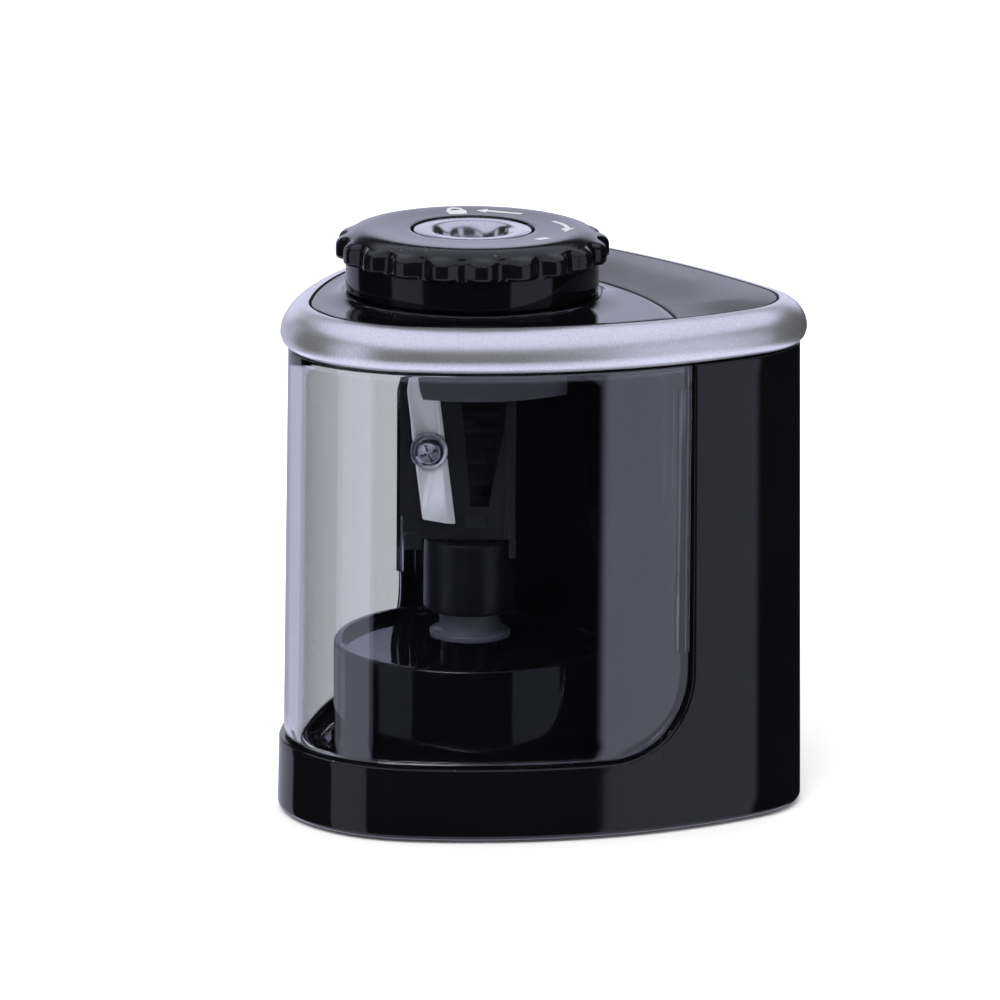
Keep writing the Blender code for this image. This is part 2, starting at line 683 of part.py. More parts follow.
def top_panel():
    """The gloss panel round the knob, with a flared boss and a bore for the collar."""
    panel = plate("top_panel", [plan(PANEL_OFFSET)], PANEL_BOTTOM, PANEL_TOP, look(GLOSS_BLACK, 0.06))
    keep(panel, seam_disc("panel_side_of_seam", -SEAM_GAP / 2, 0.0, KNOB_TOP))
    boss_top = PANEL_TOP + BOSS_HEIGHT
    flare = BOSS_RADIUS - COLLAR_RADIUS
    blank_bore = SLEEVE_BORE - MM
    profile = [(blank_bore, boss_top)]
    for step in range(4):
        angle = (math.pi / 2) * step / 3
        reach = COLLAR_RADIUS + GAP + (flare - GAP) * (1 - math.cos(angle))
        profile.append((reach, boss_top - (BOSS_HEIGHT - GAP / 4) * math.sin(angle)))
    profile += [(BOSS_RADIUS, PANEL_TOP - PANEL_THICKNESS / 2), (blank_bore, PANEL_TOP - PANEL_THICKNESS / 2)]
    join(panel, turned("panel_boss", profile, (0.0, SPINDLE_Y), None, 48))
    cut(panel, rod("panel_bore", SLEEVE_BORE, 0.0, KNOB_TOP, (0.0, SPINDLE_Y), segments=48))
    return panel


def knob_sleeve():
    """The dark sleeve under the top panel that the knob's collar drops into."""
    return ring(
        "knob_sleeve",
        SLEEVE_RADIUS,
        SLEEVE_BORE,
        SLEEVE_BOTTOM,
        PANEL_BOTTOM - GAP,
        (0.0, SPINDLE_Y),
        look((0.05, 0.05, 0.06), 0.4),
        48,
    )


def battery_cover():
    """The matt cover behind the seam, slightly crowned, with two posts that hold the link plate."""
    crown = [
        level(PANEL_OFFSET, PANEL_BOTTOM),
        level(PANEL_OFFSET, PANEL_TOP - GAP),
        level(PANEL_OFFSET - GAP, PANEL_TOP),
        level(PANEL_OFFSET - 3.5 * MM, PANEL_TOP + COVER_CROWN * 0.7),
        level(-CORNER_RADIUS + MM, PANEL_TOP + COVER_CROWN),
    ]
    cover = stacked("battery_cover", crown, look((0.06, 0.06, 0.065), 0.55))
    cut(cover, seam_disc("cover_side_of_seam", SEAM_GAP / 2, 0.0, KNOB_TOP + LIFT_TRAVEL))
    for side in (-1, 1):
        spot = (side * CELL_ACROSS / 2, CELL_BACK + 2.0 * MM)
        post = rod(f"cover_post_{side}", 1.6 * MM, LINK_BOTTOM + LINK_THICKNESS + GAP, PANEL_TOP, spot, segments=16)
        join(cover, post)
    return cover


# Gear housing, gears and switch


def gear_housing():
    """The round platform over the output gear, and the seat that the motor stands on."""
    axis = (0.0, SPINDLE_Y)
    seat_back = MOTOR_Y + MOTOR_BOSS_RADIUS + 2.5 * MM
    wall = MOTOR_SEAT_WALL
    half = MOTOR_SEAT_HALF_WIDTH
    housing = rod("gear_housing", DOME_RADIUS, HOUSING_BOTTOM, DOME_TOP, axis, look(GLOSS_BLACK, 0.1), 40)
    join(housing, block("seat_block", (-half, SPINDLE_Y, HOUSING_BOTTOM), (half, seat_back, MOTOR_SEAT_TOP)))
    below = HOUSING_BOTTOM - GAP
    inner = DOME_RADIUS - DOME_WALL
    cut(housing, rod("dome_hollow", inner, below, DOME_FLOOR - DOME_WALL, axis, segments=40))
    low_corner = (-half + wall, SPINDLE_Y, below)
    cut(housing, block("seat_hollow", low_corner, (half - wall, seat_back - wall, SEAT_CEILING)))
    cut(housing, rod("dome_dish", DOME_RADIUS - DOME_RIM, DOME_FLOOR, DOME_TOP + GAP, axis, segments=40))
    cut(housing, rod("bush_bore", BUSH_RADIUS + RUNNING, 0.0, DOME_TOP, axis, segments=32))
    boss_hole = MOTOR_BOSS_RADIUS + GAP
    cut(housing, rod("motor_boss_hole", boss_hole, 0.0, DOME_TOP, (0.0, MOTOR_Y), segments=24))
    axle_socket = rod(
        "axle_socket", AXLE_RADIUS + SEATED, IDLER_BOTTOM, SEAT_CEILING + DOME_WALL / 2, (0.0, IDLER_Y), segments=24
    )
    return cut(housing, axle_socket)


def gear_plate():
    """The plate under the gears: it carries the foot of the shaft and of the idler's axle."""
    seat_back = MOTOR_Y + MOTOR_BOSS_RADIUS + 2.5 * MM
    half = MOTOR_SEAT_HALF_WIDTH
    low, high = GEAR_PLATE_BOTTOM, GEAR_PLATE_TOP
    base = rod("gear_plate", DOME_RADIUS, low, high, (0.0, SPINDLE_Y), look(MATT_BLACK, 0.5), 40)
    tongue = plate(
        "gear_plate_tongue",
        [[(-half, SPINDLE_Y), (half, SPINDLE_Y), (half, seat_back), (-half, seat_back)]],
        low,
        high,
    )
    join(base, tongue)
    cut(base, rod("shaft_foot_bore", SHAFT_RADIUS + RUNNING, 0.0, DOME_TOP, (0.0, SPINDLE_Y), segments=24))
    cut(base, rod("axle_foot_bore", AXLE_RADIUS + SEATED, low + GAP, DOME_TOP, (0.0, IDLER_Y), segments=24))
    for number, (x, y) in enumerate(BASE_SCREW_PLACES):
        notch = rod(f"plate_notch_{number}", SCREW_BOSS_RADIUS + GAP, 0.0, DOME_TOP, (x, y), segments=16)
        cut(base, notch)
    return base


def involute(angle):
    """The involute function."""
    return math.tan(angle) - angle


def gear_outline(teeth, phase):
    """Outline of a spur gear with involute flanks; phase turns it, in radians."""
    pitch = GEAR_MODULE * teeth / 2
    base = pitch * math.cos(PRESSURE_ANGLE)
    tip = pitch + 0.8 * GEAR_MODULE
    root = pitch - 1.15 * GEAR_MODULE
    half_tooth = math.pi / (2 * teeth) - BACKLASH / (2 * pitch)
    start = max(base, root)
    flank = []
    for radius in (start, tip):
        pressure = math.acos(min(1.0, base / radius))
        flank.append((radius, half_tooth + involute(PRESSURE_ANGLE) - involute(pressure)))
    if root < base:
        flank.insert(0, (root, flank[0][1]))
    points = []
    for tooth in range(teeth):
        middle = phase + 2 * math.pi * tooth / teeth
        for radius, half in flank:
            points.append((radius * math.cos(middle - half), radius * math.sin(middle - half)))
        for radius, half in reversed(flank):
            points.append((radius * math.cos(middle + half), radius * math.sin(middle + half)))
    return points


def output_gear():
    """The wheel on the spindle."""
    outline = gear_outline(OUTPUT_TEETH, 0.0)
    bore = circle(SHAFT_RADIUS + SEATED, count=24)
    look_of = look(WHITE, 0.45)
    return plate("output_gear", [outline, bore], OUTPUT_BOTTOM, OUTPUT_TOP, look_of, (0.0, SPINDLE_Y))


def idler_gear():
    """Two wheels in one piece: the small one is tall, so that the spindle can go down and stay in mesh."""
    at = (0.0, IDLER_Y)
    small = gear_outline(IDLER_PINION_TEETH, 0.0)
    large = gear_outline(IDLER_TEETH, 0.0)
    gear = plate("idler_gear", [large], IDLER_WHEEL_BOTTOM, IDLER_TOP, look(WHITE, 0.45), at)
    join(gear, plate("idler_pinion", [small], IDLER_BOTTOM, IDLER_WHEEL_BOTTOM + IDLER_FACE / 2, None, at))
    return cut(gear, rod("idler_bore", AXLE_RADIUS + RUNNING, 0.0, DOME_TOP, at, segments=24))


def idler_axle():
    """The steel pin that the idler turns on."""
    high = SEAT_CEILING + DOME_WALL / 2 - GAP
    low = GEAR_PLATE_BOTTOM + 2 * GAP
    return rod("idler_axle", AXLE_RADIUS, low, high, (0.0, IDLER_Y), look(STEEL, 0.25, 1.0), 24)


def motor_pinion():
    """The small wheel on the motor's shaft, half a tooth round so that it meshes with the idler."""
    phase = math.pi / PINION_TEETH
    bore = circle(AXLE_RADIUS + SEATED, count=20)
    low = IDLER_WHEEL_BOTTOM - GAP
    high = min(IDLER_TOP + GAP, SEAT_CEILING - GAP)
    outlines = [gear_outline(PINION_TEETH, phase), bore]
    return plate("motor_pinion", outlines, low, high, look(BRASS, 0.3, 1.0), (0.0, MOTOR_Y))


def spindle_parts():
    """Shaft, socket and the pale bush that they press down through."""
    axis = (0.0, SPINDLE_Y)
    socket_floor = SOCKET_TOP - DRIVE_DEPTH
    shaft_top = socket_floor - 1.2 * MM
    rod("spindle_shaft", SHAFT_RADIUS, SHAFT_BOTTOM, shaft_top, axis, look(STEEL, 0.2, 1.0), 24)
    edge = 0.4 * MM
    profile = [
        (0.0, SOCKET_TOP),
        (SOCKET_RADIUS - edge, SOCKET_TOP),
        (SOCKET_RADIUS, SOCKET_TOP - edge),
        (SOCKET_RADIUS, SOCKET_BOTTOM + edge),
        (SOCKET_RADIUS - edge, SOCKET_BOTTOM),
        (0.0, SOCKET_BOTTOM),
    ]
    socket = turned("drive_socket", profile, axis, look(GLOSS_BLACK, 0.2), 40, closed=False)
    half = DRIVE_SQUARE / 2 + GAP
    well = block("drive_well", (-half, -half, socket_floor), (half, half, SOCKET_TOP + GAP))
    well.location = (0.0, SPINDLE_Y, well.location[2])
    well.rotation_euler = (0.0, 0.0, CUTTER_YAW)
    shaft_hole = rod("socket_shaft_hole", SHAFT_RADIUS + SEATED, 0.0, shaft_top + GAP, axis, segments=24)
    cut(socket, well, shaft_hole)
    bore = SHAFT_RADIUS + RUNNING
    flange_top = BUSH_FLANGE_BOTTOM + BUSH_FLANGE
    bush = [
        (BUSH_NECK_RADIUS, BUSH_TOP),
        (BUSH_NECK_RADIUS, flange_top),
        (BUSH_FLANGE_RADIUS, flange_top),
        (BUSH_FLANGE_RADIUS, BUSH_FLANGE_BOTTOM),
        (BUSH_RADIUS, BUSH_FLANGE_BOTTOM),
        (BUSH_RADIUS, BUSH_BOTTOM),
        (bore, BUSH_BOTTOM),
        (bore, BUSH_TOP),
    ]
    turned("spindle_bush", bush, axis, look(WHITE, 0.35), 32)


def switch():
    """A springy leaf under the shaft's foot, and the contact that it is pressed onto."""
    low = LEAF_TOP - LEAF_THICKNESS
    reach = SHAFT_RADIUS + MM
    front, back = SPINDLE_Y - LEAF_WIDTH / 2, SPINDLE_Y + LEAF_WIDTH / 2
    copper = look(BRASS, 0.3, 1.0)
    block("switch_leaf", (-reach, front, low), (LEAF_LENGTH, back, LEAF_TOP), copper)
    block(
        "switch_block",
        (LEAF_LENGTH + GAP, front, COVER_TOP + GAP),
        (LEAF_LENGTH + GAP + SWITCH_BLOCK, back, GEAR_PLATE_BOTTOM - GAP),
        look(MATT_BLACK, 0.5),
    )
    block("switch_contact", (-reach - 4 * MM, front, COVER_TOP + GAP), (-GAP, back, CONTACT_TOP), copper)


# Motor and batteries


def motor_outline(clearance):
    """A can with two round sides and two flat ones."""
    radius = MOTOR_RADIUS + clearance
    flat = MOTOR_HALF_DEPTH + clearance
    limit = math.asin(flat / radius)
    side = [-limit + 2 * limit * step / 8 for step in range(9)]
    right = [(radius * math.cos(a), radius * math.sin(a)) for a in side]
    return right + [(-x, -y) for x, y in right]


def motor():
    """Can, end cap, shaft and the two tabs that the leads are soldered to."""
    at = (0.0, MOTOR_Y)
    bore = AXLE_RADIUS + RUNNING
    can = plate("motor_can", [motor_outline(0.0)], MOTOR_BOTTOM, MOTOR_TOP, look(STEEL, 0.3, 1.0), at)
    boss_low = MOTOR_BOTTOM - MOTOR_BOSS
    join(can, rod("motor_boss", MOTOR_BOSS_RADIUS, boss_low, MOTOR_BOTTOM + MOTOR_BOSS, at, segments=24))
    cut(can, rod("motor_bore", bore, 0.0, MOTOR_CAP_TOP, at, segments=20))
    outlines = [motor_outline(-GAP), circle(bore, count=20)]
    plate("motor_end_cap", outlines, MOTOR_CAP_BOTTOM, MOTOR_CAP_TOP, look(WHITE, 0.5), at)
    shaft_low = IDLER_WHEEL_BOTTOM - GAP
    rod("motor_shaft", AXLE_RADIUS, shaft_low, MOTOR_CAP_TOP + MM, at, look(STEEL, 0.2, 1.0), 20)
    for hand, side in SIDES:
        x = side * TAB_ACROSS
        low = (x - MM, MOTOR_Y + TAB_BACK - LINK_THICKNESS, MOTOR_CAP_TOP + GAP)
        high = (x + MM, MOTOR_Y + TAB_BACK, MOTOR_CAP_TOP + TAB_HEIGHT)
        block(f"motor_terminal_{hand}", low, high, look(BRASS, 0.3, 1.0))


def battery_cradle():
    """The frame behind the bulkhead that holds the two cells and the motor."""
    region = clipped(plan(INNER_OFFSET - GAP), BULKHEAD_BACK + GAP, BODY_DEPTH)
    cradle = plate("battery_cradle", [region], CRADLE_BOTTOM, CRADLE_TOP, look(MATT_BLACK, 0.5))
    motor_well = plate("motor_well", [motor_outline(CRADLE_CLEARANCE)], 0.0, KNOB_TOP, None, (0.0, MOTOR_Y))
    cut(cradle, motor_well)
    for side in (-1, 1):
        spot = (side * CELL_ACROSS, CELL_BACK)
        cut(cradle, rod(f"cell_well_{side}", CELL_RADIUS + CRADLE_CLEARANCE, 0.0, KNOB_TOP, spot, segments=28))
    room = LEAD_RADIUS + GAP
    for side in (-1, 1):
        low_corner = (side * LEAD_ACROSS - room, LEAD_BACK - room, 0.0)
        cut(cradle, block(f"lead_notch_{side}", low_corner, (side * LEAD_ACROSS + room, BODY_DEPTH, KNOB_TOP)))
    return cradle


def cells():
    """Two AA cells, the left one with its nub up and the right one with its nub down."""
    low, high = CELL_BOTTOM, CELL_TOP
    edge = 0.5 * MM
    up = [
        (0.0, high + NUB_LENGTH),
        (NUB_RADIUS, high + NUB_LENGTH),
        (NUB_RADIUS, high),
        (CELL_RADIUS - edge, high),
        (CELL_RADIUS, high - edge),
        (CELL_RADIUS, low + edge),
        (CELL_RADIUS - edge, low),
        (0.0, low),
    ]
    down = [(radius, low + high - height) for radius, height in reversed(up)]
    shiny = look((0.35, 0.36, 0.38), 0.3, 0.9)
    turned("battery_left", up, (-CELL_ACROSS, CELL_BACK), shiny, 28, closed=False)
    turned("battery_right", down, (CELL_ACROSS, CELL_BACK), shiny, 28, closed=False)


def coil(name, low, high, centre, finish_of, turns=3.5, wide=2.6 * MM, narrow=1.6 * MM):
    """A conical contact spring."""
    wire = 0.25 * MM
    steps = int(turns * 9)
    points = []
    for step in range(steps + 1):
        share = step / steps
        radius = wide + (narrow - wide) * share
        angle = 2 * math.pi * turns * share
        height = low + wire + (high - low - 2 * wire) * share
        points.append((centre[0] + radius * math.cos(angle), centre[1] + radius * math.sin(angle), height))
    return tube(name, points, wire, finish_of)


def contacts():
    """The battery contacts: a spring and a plate at the floor, and a link plate with a spring in the cover."""
    plated = look(STEEL, 0.25, 1.0)
    low = COVER_TOP + GAP
    thick = LINK_THICKNESS
    half = 4.0 * MM
    for hand, side in SIDES:
        x = side * CELL_ACROSS
        corner = (x - half, CELL_BACK - half, low)
        block(f"battery_contact_{hand}", corner, (x + half, CELL_BACK + half, low + thick), plated)
    spring_low = low + thick + GAP / 2
    coil("battery_spring_lower", spring_low, CELL_BOTTOM - GAP, (-CELL_ACROSS, CELL_BACK), plated)
    post_top = CELL_BOTTOM - NUB_LENGTH - GAP
    rod("battery_contact_post", 2.0 * MM, spring_low, post_top, (CELL_ACROSS, CELL_BACK), plated, 20)
    reach = CELL_ACROSS + half
    link_low = (-reach, LINK_FRONT, LINK_BOTTOM)
    block("battery_link_plate", link_low, (reach, CELL_BACK + half, LINK_BOTTOM + thick), plated)
    coil("battery_spring_upper", CELL_TOP + GAP, LINK_BOTTOM - GAP / 2, (CELL_ACROSS, CELL_BACK), plated, turns=1.5)


def leads():
    """Two insulated wires from the motor's tabs down to the battery contacts."""
    back = LEAD_BACK
    top = MOTOR_CAP_TOP + TAB_HEIGHT - 0.4 * MM
    for hand, side in SIDES:
        foot = (side * (CELL_ACROSS - 2.0 * MM), CELL_BACK + 6.0 * MM, COVER_TOP + 3 * GAP)
        route = [
            (side * TAB_ACROSS, MOTOR_Y + TAB_BACK + LEAD_RADIUS + GAP, top),
            (side * TAB_ACROSS, MOTOR_Y + TAB_BACK + 3.0 * MM, top + 0.9 * MM),
            (side * (LEAD_ACROSS + 0.2 * MM), back - 0.6 * MM, top + 0.3 * MM),
            (side * LEAD_ACROSS, back, top - 1.6 * MM),
            (side * LEAD_ACROSS, back, MOTOR_BOTTOM),
            (side * LEAD_ACROSS, back, 8.0 * MM),
            (side * 6.0 * MM, back - 0.4 * MM, 4.6 * MM),
            (side * 9.0 * MM, back - 1.4 * MM, foot[2]),
            foot,
        ]
        tube(f"motor_lead_{hand}", route, LEAD_RADIUS, look((0.5, 0.03, 0.03), 0.5))


# Cutter: built across X with the blade facing -Y, then turned about the spindle


def blade_holder():
    """Block with a conical hole for the point, a slot for the chips, a journal above and a square drive below."""
    steps = [
        (0.0, JOURNAL_TOP),
        (JOURNAL_RADIUS, JOURNAL_TOP),
        (JOURNAL_RADIUS, HOLDER_DISC_TOP),
        (HOLDER_DISC_RADIUS, HOLDER_DISC_TOP),
        (HOLDER_DISC_RADIUS, HOLDER_DISC_BOTTOM),
        (0.0, HOLDER_DISC_BOTTOM),
    ]
    holder = turned("blade_holder", steps, (0.0, 0.0), look(MATT_BLACK, 0.35), 40, closed=False)
    low = (-HOLDER_LEFT, -HOLDER_FRONT, HOLDER_BOTTOM)
    high = (HOLDER_RIGHT, HOLDER_BACK, HOLDER_DISC_BOTTOM + HOLDER_DISC / 2)
    half = DRIVE_SQUARE / 2
    peg_low = (-half, -half, SOCKET_TOP - DRIVE_DEPTH + GAP)
    peg_high = (half, half, HOLDER_BOTTOM + HOLDER_BRIDGE / 2)
    join(holder, block("holder_block", low, high), block("holder_peg", peg_low, peg_high))
    cone_top = HOLDER_DISC_BOTTOM
    cone = rod("point_cone", POINT_RADIUS, POINT_BOTTOM, cone_top, segments=32, top_radius=PENCIL_RADIUS)
    bore = rod("pencil_bore", PENCIL_RADIUS, cone_top - GAP, JOURNAL_TOP + GAP, segments=32)
    slot_low, slot_high = HOLDER_BOTTOM + HOLDER_BRIDGE, HOLDER_DISC_BOTTOM - GAP
    shift = CHIP_SLOT_SHIFT
    mouth = [
        (shift - CHIP_SLOT_BOTTOM / 2, slot_low),
        (shift + CHIP_SLOT_BOTTOM / 2, slot_low),
        (shift + CHIP_SLOT_TOP / 2, slot_high),
        (shift - CHIP_SLOT_TOP / 2, slot_high),
    ]
    slot = plate("chip_slot", [mouth], 0.0, HOLDER_FRONT + MM)
    slot.location = (0.0, -(HOLDER_FRONT + MM) / 2, 0.0)
    slot.rotation_euler = (math.pi / 2, 0.0, 0.0)
    cut(holder, cone, bore, slot)
    thread = rod("blade_screw_hole", SCREW_SHANK_RADIUS + SEATED, -HOLDER_FRONT, HOLDER_FRONT, segments=16)
    thread.location = (SCREW_ACROSS, -HOLDER_FRONT, SCREW_HEIGHT)
    thread.rotation_euler = (math.pi / 2, 0.0, 0.0)
    cut(holder, thread)
    return holder


def blade():
    """A flat strip of steel that leans with the cone, with a hole for its screw."""
    half, tall = BLADE_WIDTH / 2, BLADE_LENGTH / 2
    outline = [(-half, -tall), (half, -tall), (half, tall), (-half, tall)]
    hole = circle(SCREW_SHANK_RADIUS + GAP, (0.0, -SCREW_DROP), 20)
    strip = plate("blade", [outline, hole], 0.0, BLADE_THICKNESS, look(STEEL, 0.3, 1.0))
    strip.location = (BLADE_ACROSS, -HOLDER_FRONT - GAP / 2 - BLADE_THICKNESS / 2, BLADE_MIDDLE)
    strip.rotation_euler = (math.pi / 2, -BLADE_LEAN, 0.0)
    return strip


def blade_screw():
    """Pan-head screw with a washer face, and a cross recess."""
    washer_low = 0.0
    washer_high = 0.45 * MM
    head_high = washer_high + 0.9 * MM
    profile = [
        (0.0, head_high),
        (SCREW_HEAD_RADIUS * 0.6, head_high - 0.05 * MM),
        (SCREW_HEAD_RADIUS, head_high - 0.45 * MM),
        (SCREW_HEAD_RADIUS, washer_high),
        (SCREW_WASHER_RADIUS, washer_high),
        (SCREW_WASHER_RADIUS, washer_low),
        (SCREW_SHANK_RADIUS, washer_low),
        (SCREW_SHANK_RADIUS, -3.0 * MM),
        (0.0, -3.0 * MM),
    ]
    screw = turned("blade_screw", profile, (0.0, 0.0), look(STEEL, 0.2, 1.0), 28, closed=False)
    arm, width = SCREW_HEAD_RADIUS * 0.62, 0.16 * MM
    lift = GAP / 2 + BLADE_THICKNESS + GAP / 2
    screw.location = (SCREW_ACROSS, -HOLDER_FRONT - lift, SCREW_HEIGHT)
    screw.rotation_euler = (math.pi / 2, 0.0, 0.0)
    depth = 0.5 * MM
    for number, (x, y) in enumerate(((arm, width), (width, arm))):
        recess = block(f"screw_recess_{number}", (-x, -y, head_high - depth), (x, y, head_high + depth))
        centre = recess.location[2]
        recess.location = (screw.location[0], screw.location[1] - centre, screw.location[2])
        recess.rotation_euler = (math.pi / 2, 0.0, 0.0)
        cut(screw, recess)
    return screw


def cutter():
    """Everything that spins with the blade, and its cutters, turned together."""
    before = set(PARTS.objects) | set(CUTTERS.objects)
    blade_holder()
    blade()
    blade_screw()
    made = (set(PARTS.objects) | set(CUTTERS.objects)) - before
    turn_about_spindle(sorted(made, key=lambda thing: thing.name))


def holder_bearing():
    """The pale ring that the holder's journal turns in; it goes down with the holder."""
    return ring(
        "holder_bearing",
        COLLAR_BORE - RUNNING,
        JOURNAL_RADIUS + RUNNING,
        BEARING_BOTTOM,
        BEARING_BOTTOM + BEARING_LENGTH,
        (0.0, SPINDLE_Y),
        look(WHITE, 0.4),
        40,
    )


# Knob


def knob_collar():
    """The skirt under the knob, with a spigot that drops into the sleeve."""
    bore = GUIDE_TUBE + GAP
    edge = 0.3 * MM
    profile = [
        (bore, COLLAR_TOP),
        (COLLAR_RADIUS, COLLAR_TOP),
        (COLLAR_RADIUS, COLLAR_BOTTOM + edge),
        (COLLAR_RADIUS - edge, COLLAR_BOTTOM),
        (COLLAR_SPIGOT, COLLAR_BOTTOM),
        (COLLAR_SPIGOT, COLLAR_SPIGOT_BOTTOM),
        (COLLAR_BORE, COLLAR_SPIGOT_BOTTOM),
        (COLLAR_BORE, COLLAR_TOP - COLLAR_PLATE),
        (bore, COLLAR_TOP - COLLAR_PLATE),
    ]
    return turned("knob_collar", profile, (0.0, SPINDLE_Y), look(GLOSS_BLACK, 0.08), 48)


def lobed(radius, depth, height, count):
    """A ring whose radius dips between the knob's lobes."""
    points = []
    for step in range(count):
        angle = 2 * math.pi * step / count
        wave = abs(math.sin(KNOB_LOBES * angle / 2))
        reach = radius - depth * (1 - wave) ** 2
        points.append((reach * math.cos(angle), reach * math.sin(angle), height))
    return points


def knob_cap():
    """The crowned knob with a scalloped grip round its edge."""
    count = KNOB_LOBES * 5
    hole = GUIDE_RADIUS + GAP
    edge = 0.35 * MM
    shoulder = [(CROWN_FLAT, KNOB_TOP), (CROWN_RADIUS, LOBE_TOP)]
    grip = [
        lobed(KNOB_RADIUS, LOBE_DEPTH, KNOB_BOTTOM, count),
        lobed(KNOB_RADIUS, LOBE_DEPTH, LOBE_TOP - edge, count),
        lobed(KNOB_RADIUS - edge, LOBE_DEPTH, LOBE_TOP, count),
    ]
    for radius, height in reversed(shoulder):
        grip.append(lobed(radius, 0.0, height, count))
    inside = [lobed(hole, 0.0, KNOB_BOTTOM, count), lobed(hole, 0.0, KNOB_TOP, count)]
    return stacked("knob_cap", grip, look(GLOSS_BLACK, 0.12), (0.0, SPINDLE_Y), inside)


def pencil_guide():
    """The metal funnel in the middle of the knob."""
    top = KNOB_TOP - GUIDE_SUNK
    flange_low = top - GUIDE_FLANGE
    tube_low = JOURNAL_TOP + 4 * GAP
    profile = [
        (GUIDE_MOUTH, top),
        (GUIDE_RADIUS - GAP / 2, top),
        (GUIDE_RADIUS, top - GAP / 2),
        (GUIDE_RADIUS, flange_low),
        (GUIDE_TUBE, flange_low),
        (GUIDE_TUBE, tube_low),
        (PENCIL_RADIUS, tube_low),
        (PENCIL_RADIUS, top - 2.2 * MM),
    ]
    return turned("pencil_guide", profile, (0.0, SPINDLE_Y), look(STEEL, 0.25, 1.0), 36)


def shavings_bin():
    """The clear front: a wall that follows the plan, with a rail on each side that slides into the body."""
    outer = -BIN_INSET
    rings = [level(outer - GAP / 2, STRIP_TOP - GAP), level(-DRAFT - GAP / 2, BODY_TOP)]
    shell = stacked("shavings_bin", rings, look((0.35, 0.36, 0.40), 0.03, 0.0, 0.35))
    inside = plan(-DRAFT - GAP / 2 - BIN_WALL)
    cut(shell, plate("bin_hollow", [inside], 0.0, KNOB_TOP))
    keep(shell, bin_region("bin_shape", GAP))
    rail_x = half_width(INNER_OFFSET, BIN_REAR - GAP) - GAP
    rail_low = STRIP_TOP + BIN_CORNER_RADIUS + 2 * MM
    for side in (-1, 1):
        edges = sorted((side * rail_x, side * (rail_x - BIN_RAIL)))
        corner = (edges[0], BIN_REAR - 8.0 * MM, rail_low)
        far = (edges[1], BULKHEAD_FRONT - GAP, BODY_TOP - 3.0 * MM)
        join(shell, block(f"bin_rail_{side}", corner, far))
    return shell


def build():
    """Make every piece of the sharpener."""
    main_body()
    base_cover()
    base_screws()
    rubber_feet()
    top_ring()
    top_panel()
    knob_sleeve()
    battery_cover()
    gear_housing()
    gear_plate()
    output_gear()
    idler_gear()
    idler_axle()
    motor_pinion()
    spindle_parts()
    switch()
    motor()
    battery_cradle()
    cells()
    contacts()
    leads()
    cutter()
    holder_bearing()
    knob_collar()
    knob_cap()
    pencil_guide()
    shavings_bin()


build()
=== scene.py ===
"""Looks of a battery pencil sharpener: gloss black housing, clear smoked bin, silver ring and lobed knob.

Lengths are metres. The front with the clear bin faces -Y, the batteries are at +Y and +Z is up.
"""

import logging
import math
from collections.abc import Callable, Iterable
from dataclasses import dataclass, field
from enum import Enum

import bmesh
import bpy
from mathutils import Matrix, Vector


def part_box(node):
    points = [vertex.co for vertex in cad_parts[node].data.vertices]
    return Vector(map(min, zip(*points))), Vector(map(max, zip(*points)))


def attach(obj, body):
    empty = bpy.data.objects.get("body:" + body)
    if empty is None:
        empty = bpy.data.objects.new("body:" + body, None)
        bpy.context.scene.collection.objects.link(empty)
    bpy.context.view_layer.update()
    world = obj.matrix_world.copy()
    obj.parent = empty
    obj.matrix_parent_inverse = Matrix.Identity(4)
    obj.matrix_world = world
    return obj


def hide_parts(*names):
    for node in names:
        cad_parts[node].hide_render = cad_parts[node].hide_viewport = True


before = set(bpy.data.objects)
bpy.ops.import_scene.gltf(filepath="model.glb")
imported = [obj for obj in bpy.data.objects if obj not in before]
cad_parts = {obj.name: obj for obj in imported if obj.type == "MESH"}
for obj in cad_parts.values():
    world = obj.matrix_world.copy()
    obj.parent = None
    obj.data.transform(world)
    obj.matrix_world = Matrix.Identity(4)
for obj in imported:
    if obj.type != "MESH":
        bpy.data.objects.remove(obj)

MM = 0.001
CREASE = math.radians(42.0)  # edges sharper than this stay sharp
LOG = logging.getLogger("pencil_sharpener")

Point = tuple[float, float, float]
Flat = tuple[float, float]
Colour = tuple[float, float, float]
Key = tuple[int, int]
Piece = bpy.types.Object
Tree = bpy.types.NodeTree


# Shapes


def smooth(mesh: bpy.types.Mesh, crease: float = CREASE) -> None:
    """Shade a mesh smooth, and keep its edges sharp where they turn more than crease."""
    mesh.shade_smooth()
    mesh.set_sharp_from_angle(angle=crease)


def solid_mesh(thing: Piece) -> bpy.types.Mesh:
    """Return a piece's mesh with its modifiers applied."""
    bpy.context.view_layer.update()
    return bpy.data.meshes.new_from_object(thing.evaluated_get(bpy.context.evaluated_depsgraph_get()))


def link(name: str, mesh: bpy.types.Mesh) -> Piece:
    """Put a mesh in the scene, smooth shaded with its corners kept sharp.

    Args:
        name: Name of the piece.
        mesh: Its mesh.

    Returns:
        The new object.
    """
    thing = bpy.data.objects.new(name, mesh)
    bpy.context.scene.collection.objects.link(thing)
    smooth(mesh)
    return thing


def from_bmesh(name: str, bm: bmesh.types.BMesh, merge: float = 1e-7) -> Piece:
    """Finish a bmesh as a piece with its faces pointing out.

    Args:
        name: Name of the piece.
        bm: The bmesh, which is freed.
        merge: Points closer than this become one.

    Returns:
        The new object.
    """
    bmesh.ops.remove_doubles(bm, verts=bm.verts, dist=merge)
    bmesh.ops.recalc_face_normals(bm, faces=bm.faces)
    mesh = bpy.data.meshes.new(name)
    bm.to_mesh(mesh)
    bm.free()
    return link(name, mesh)


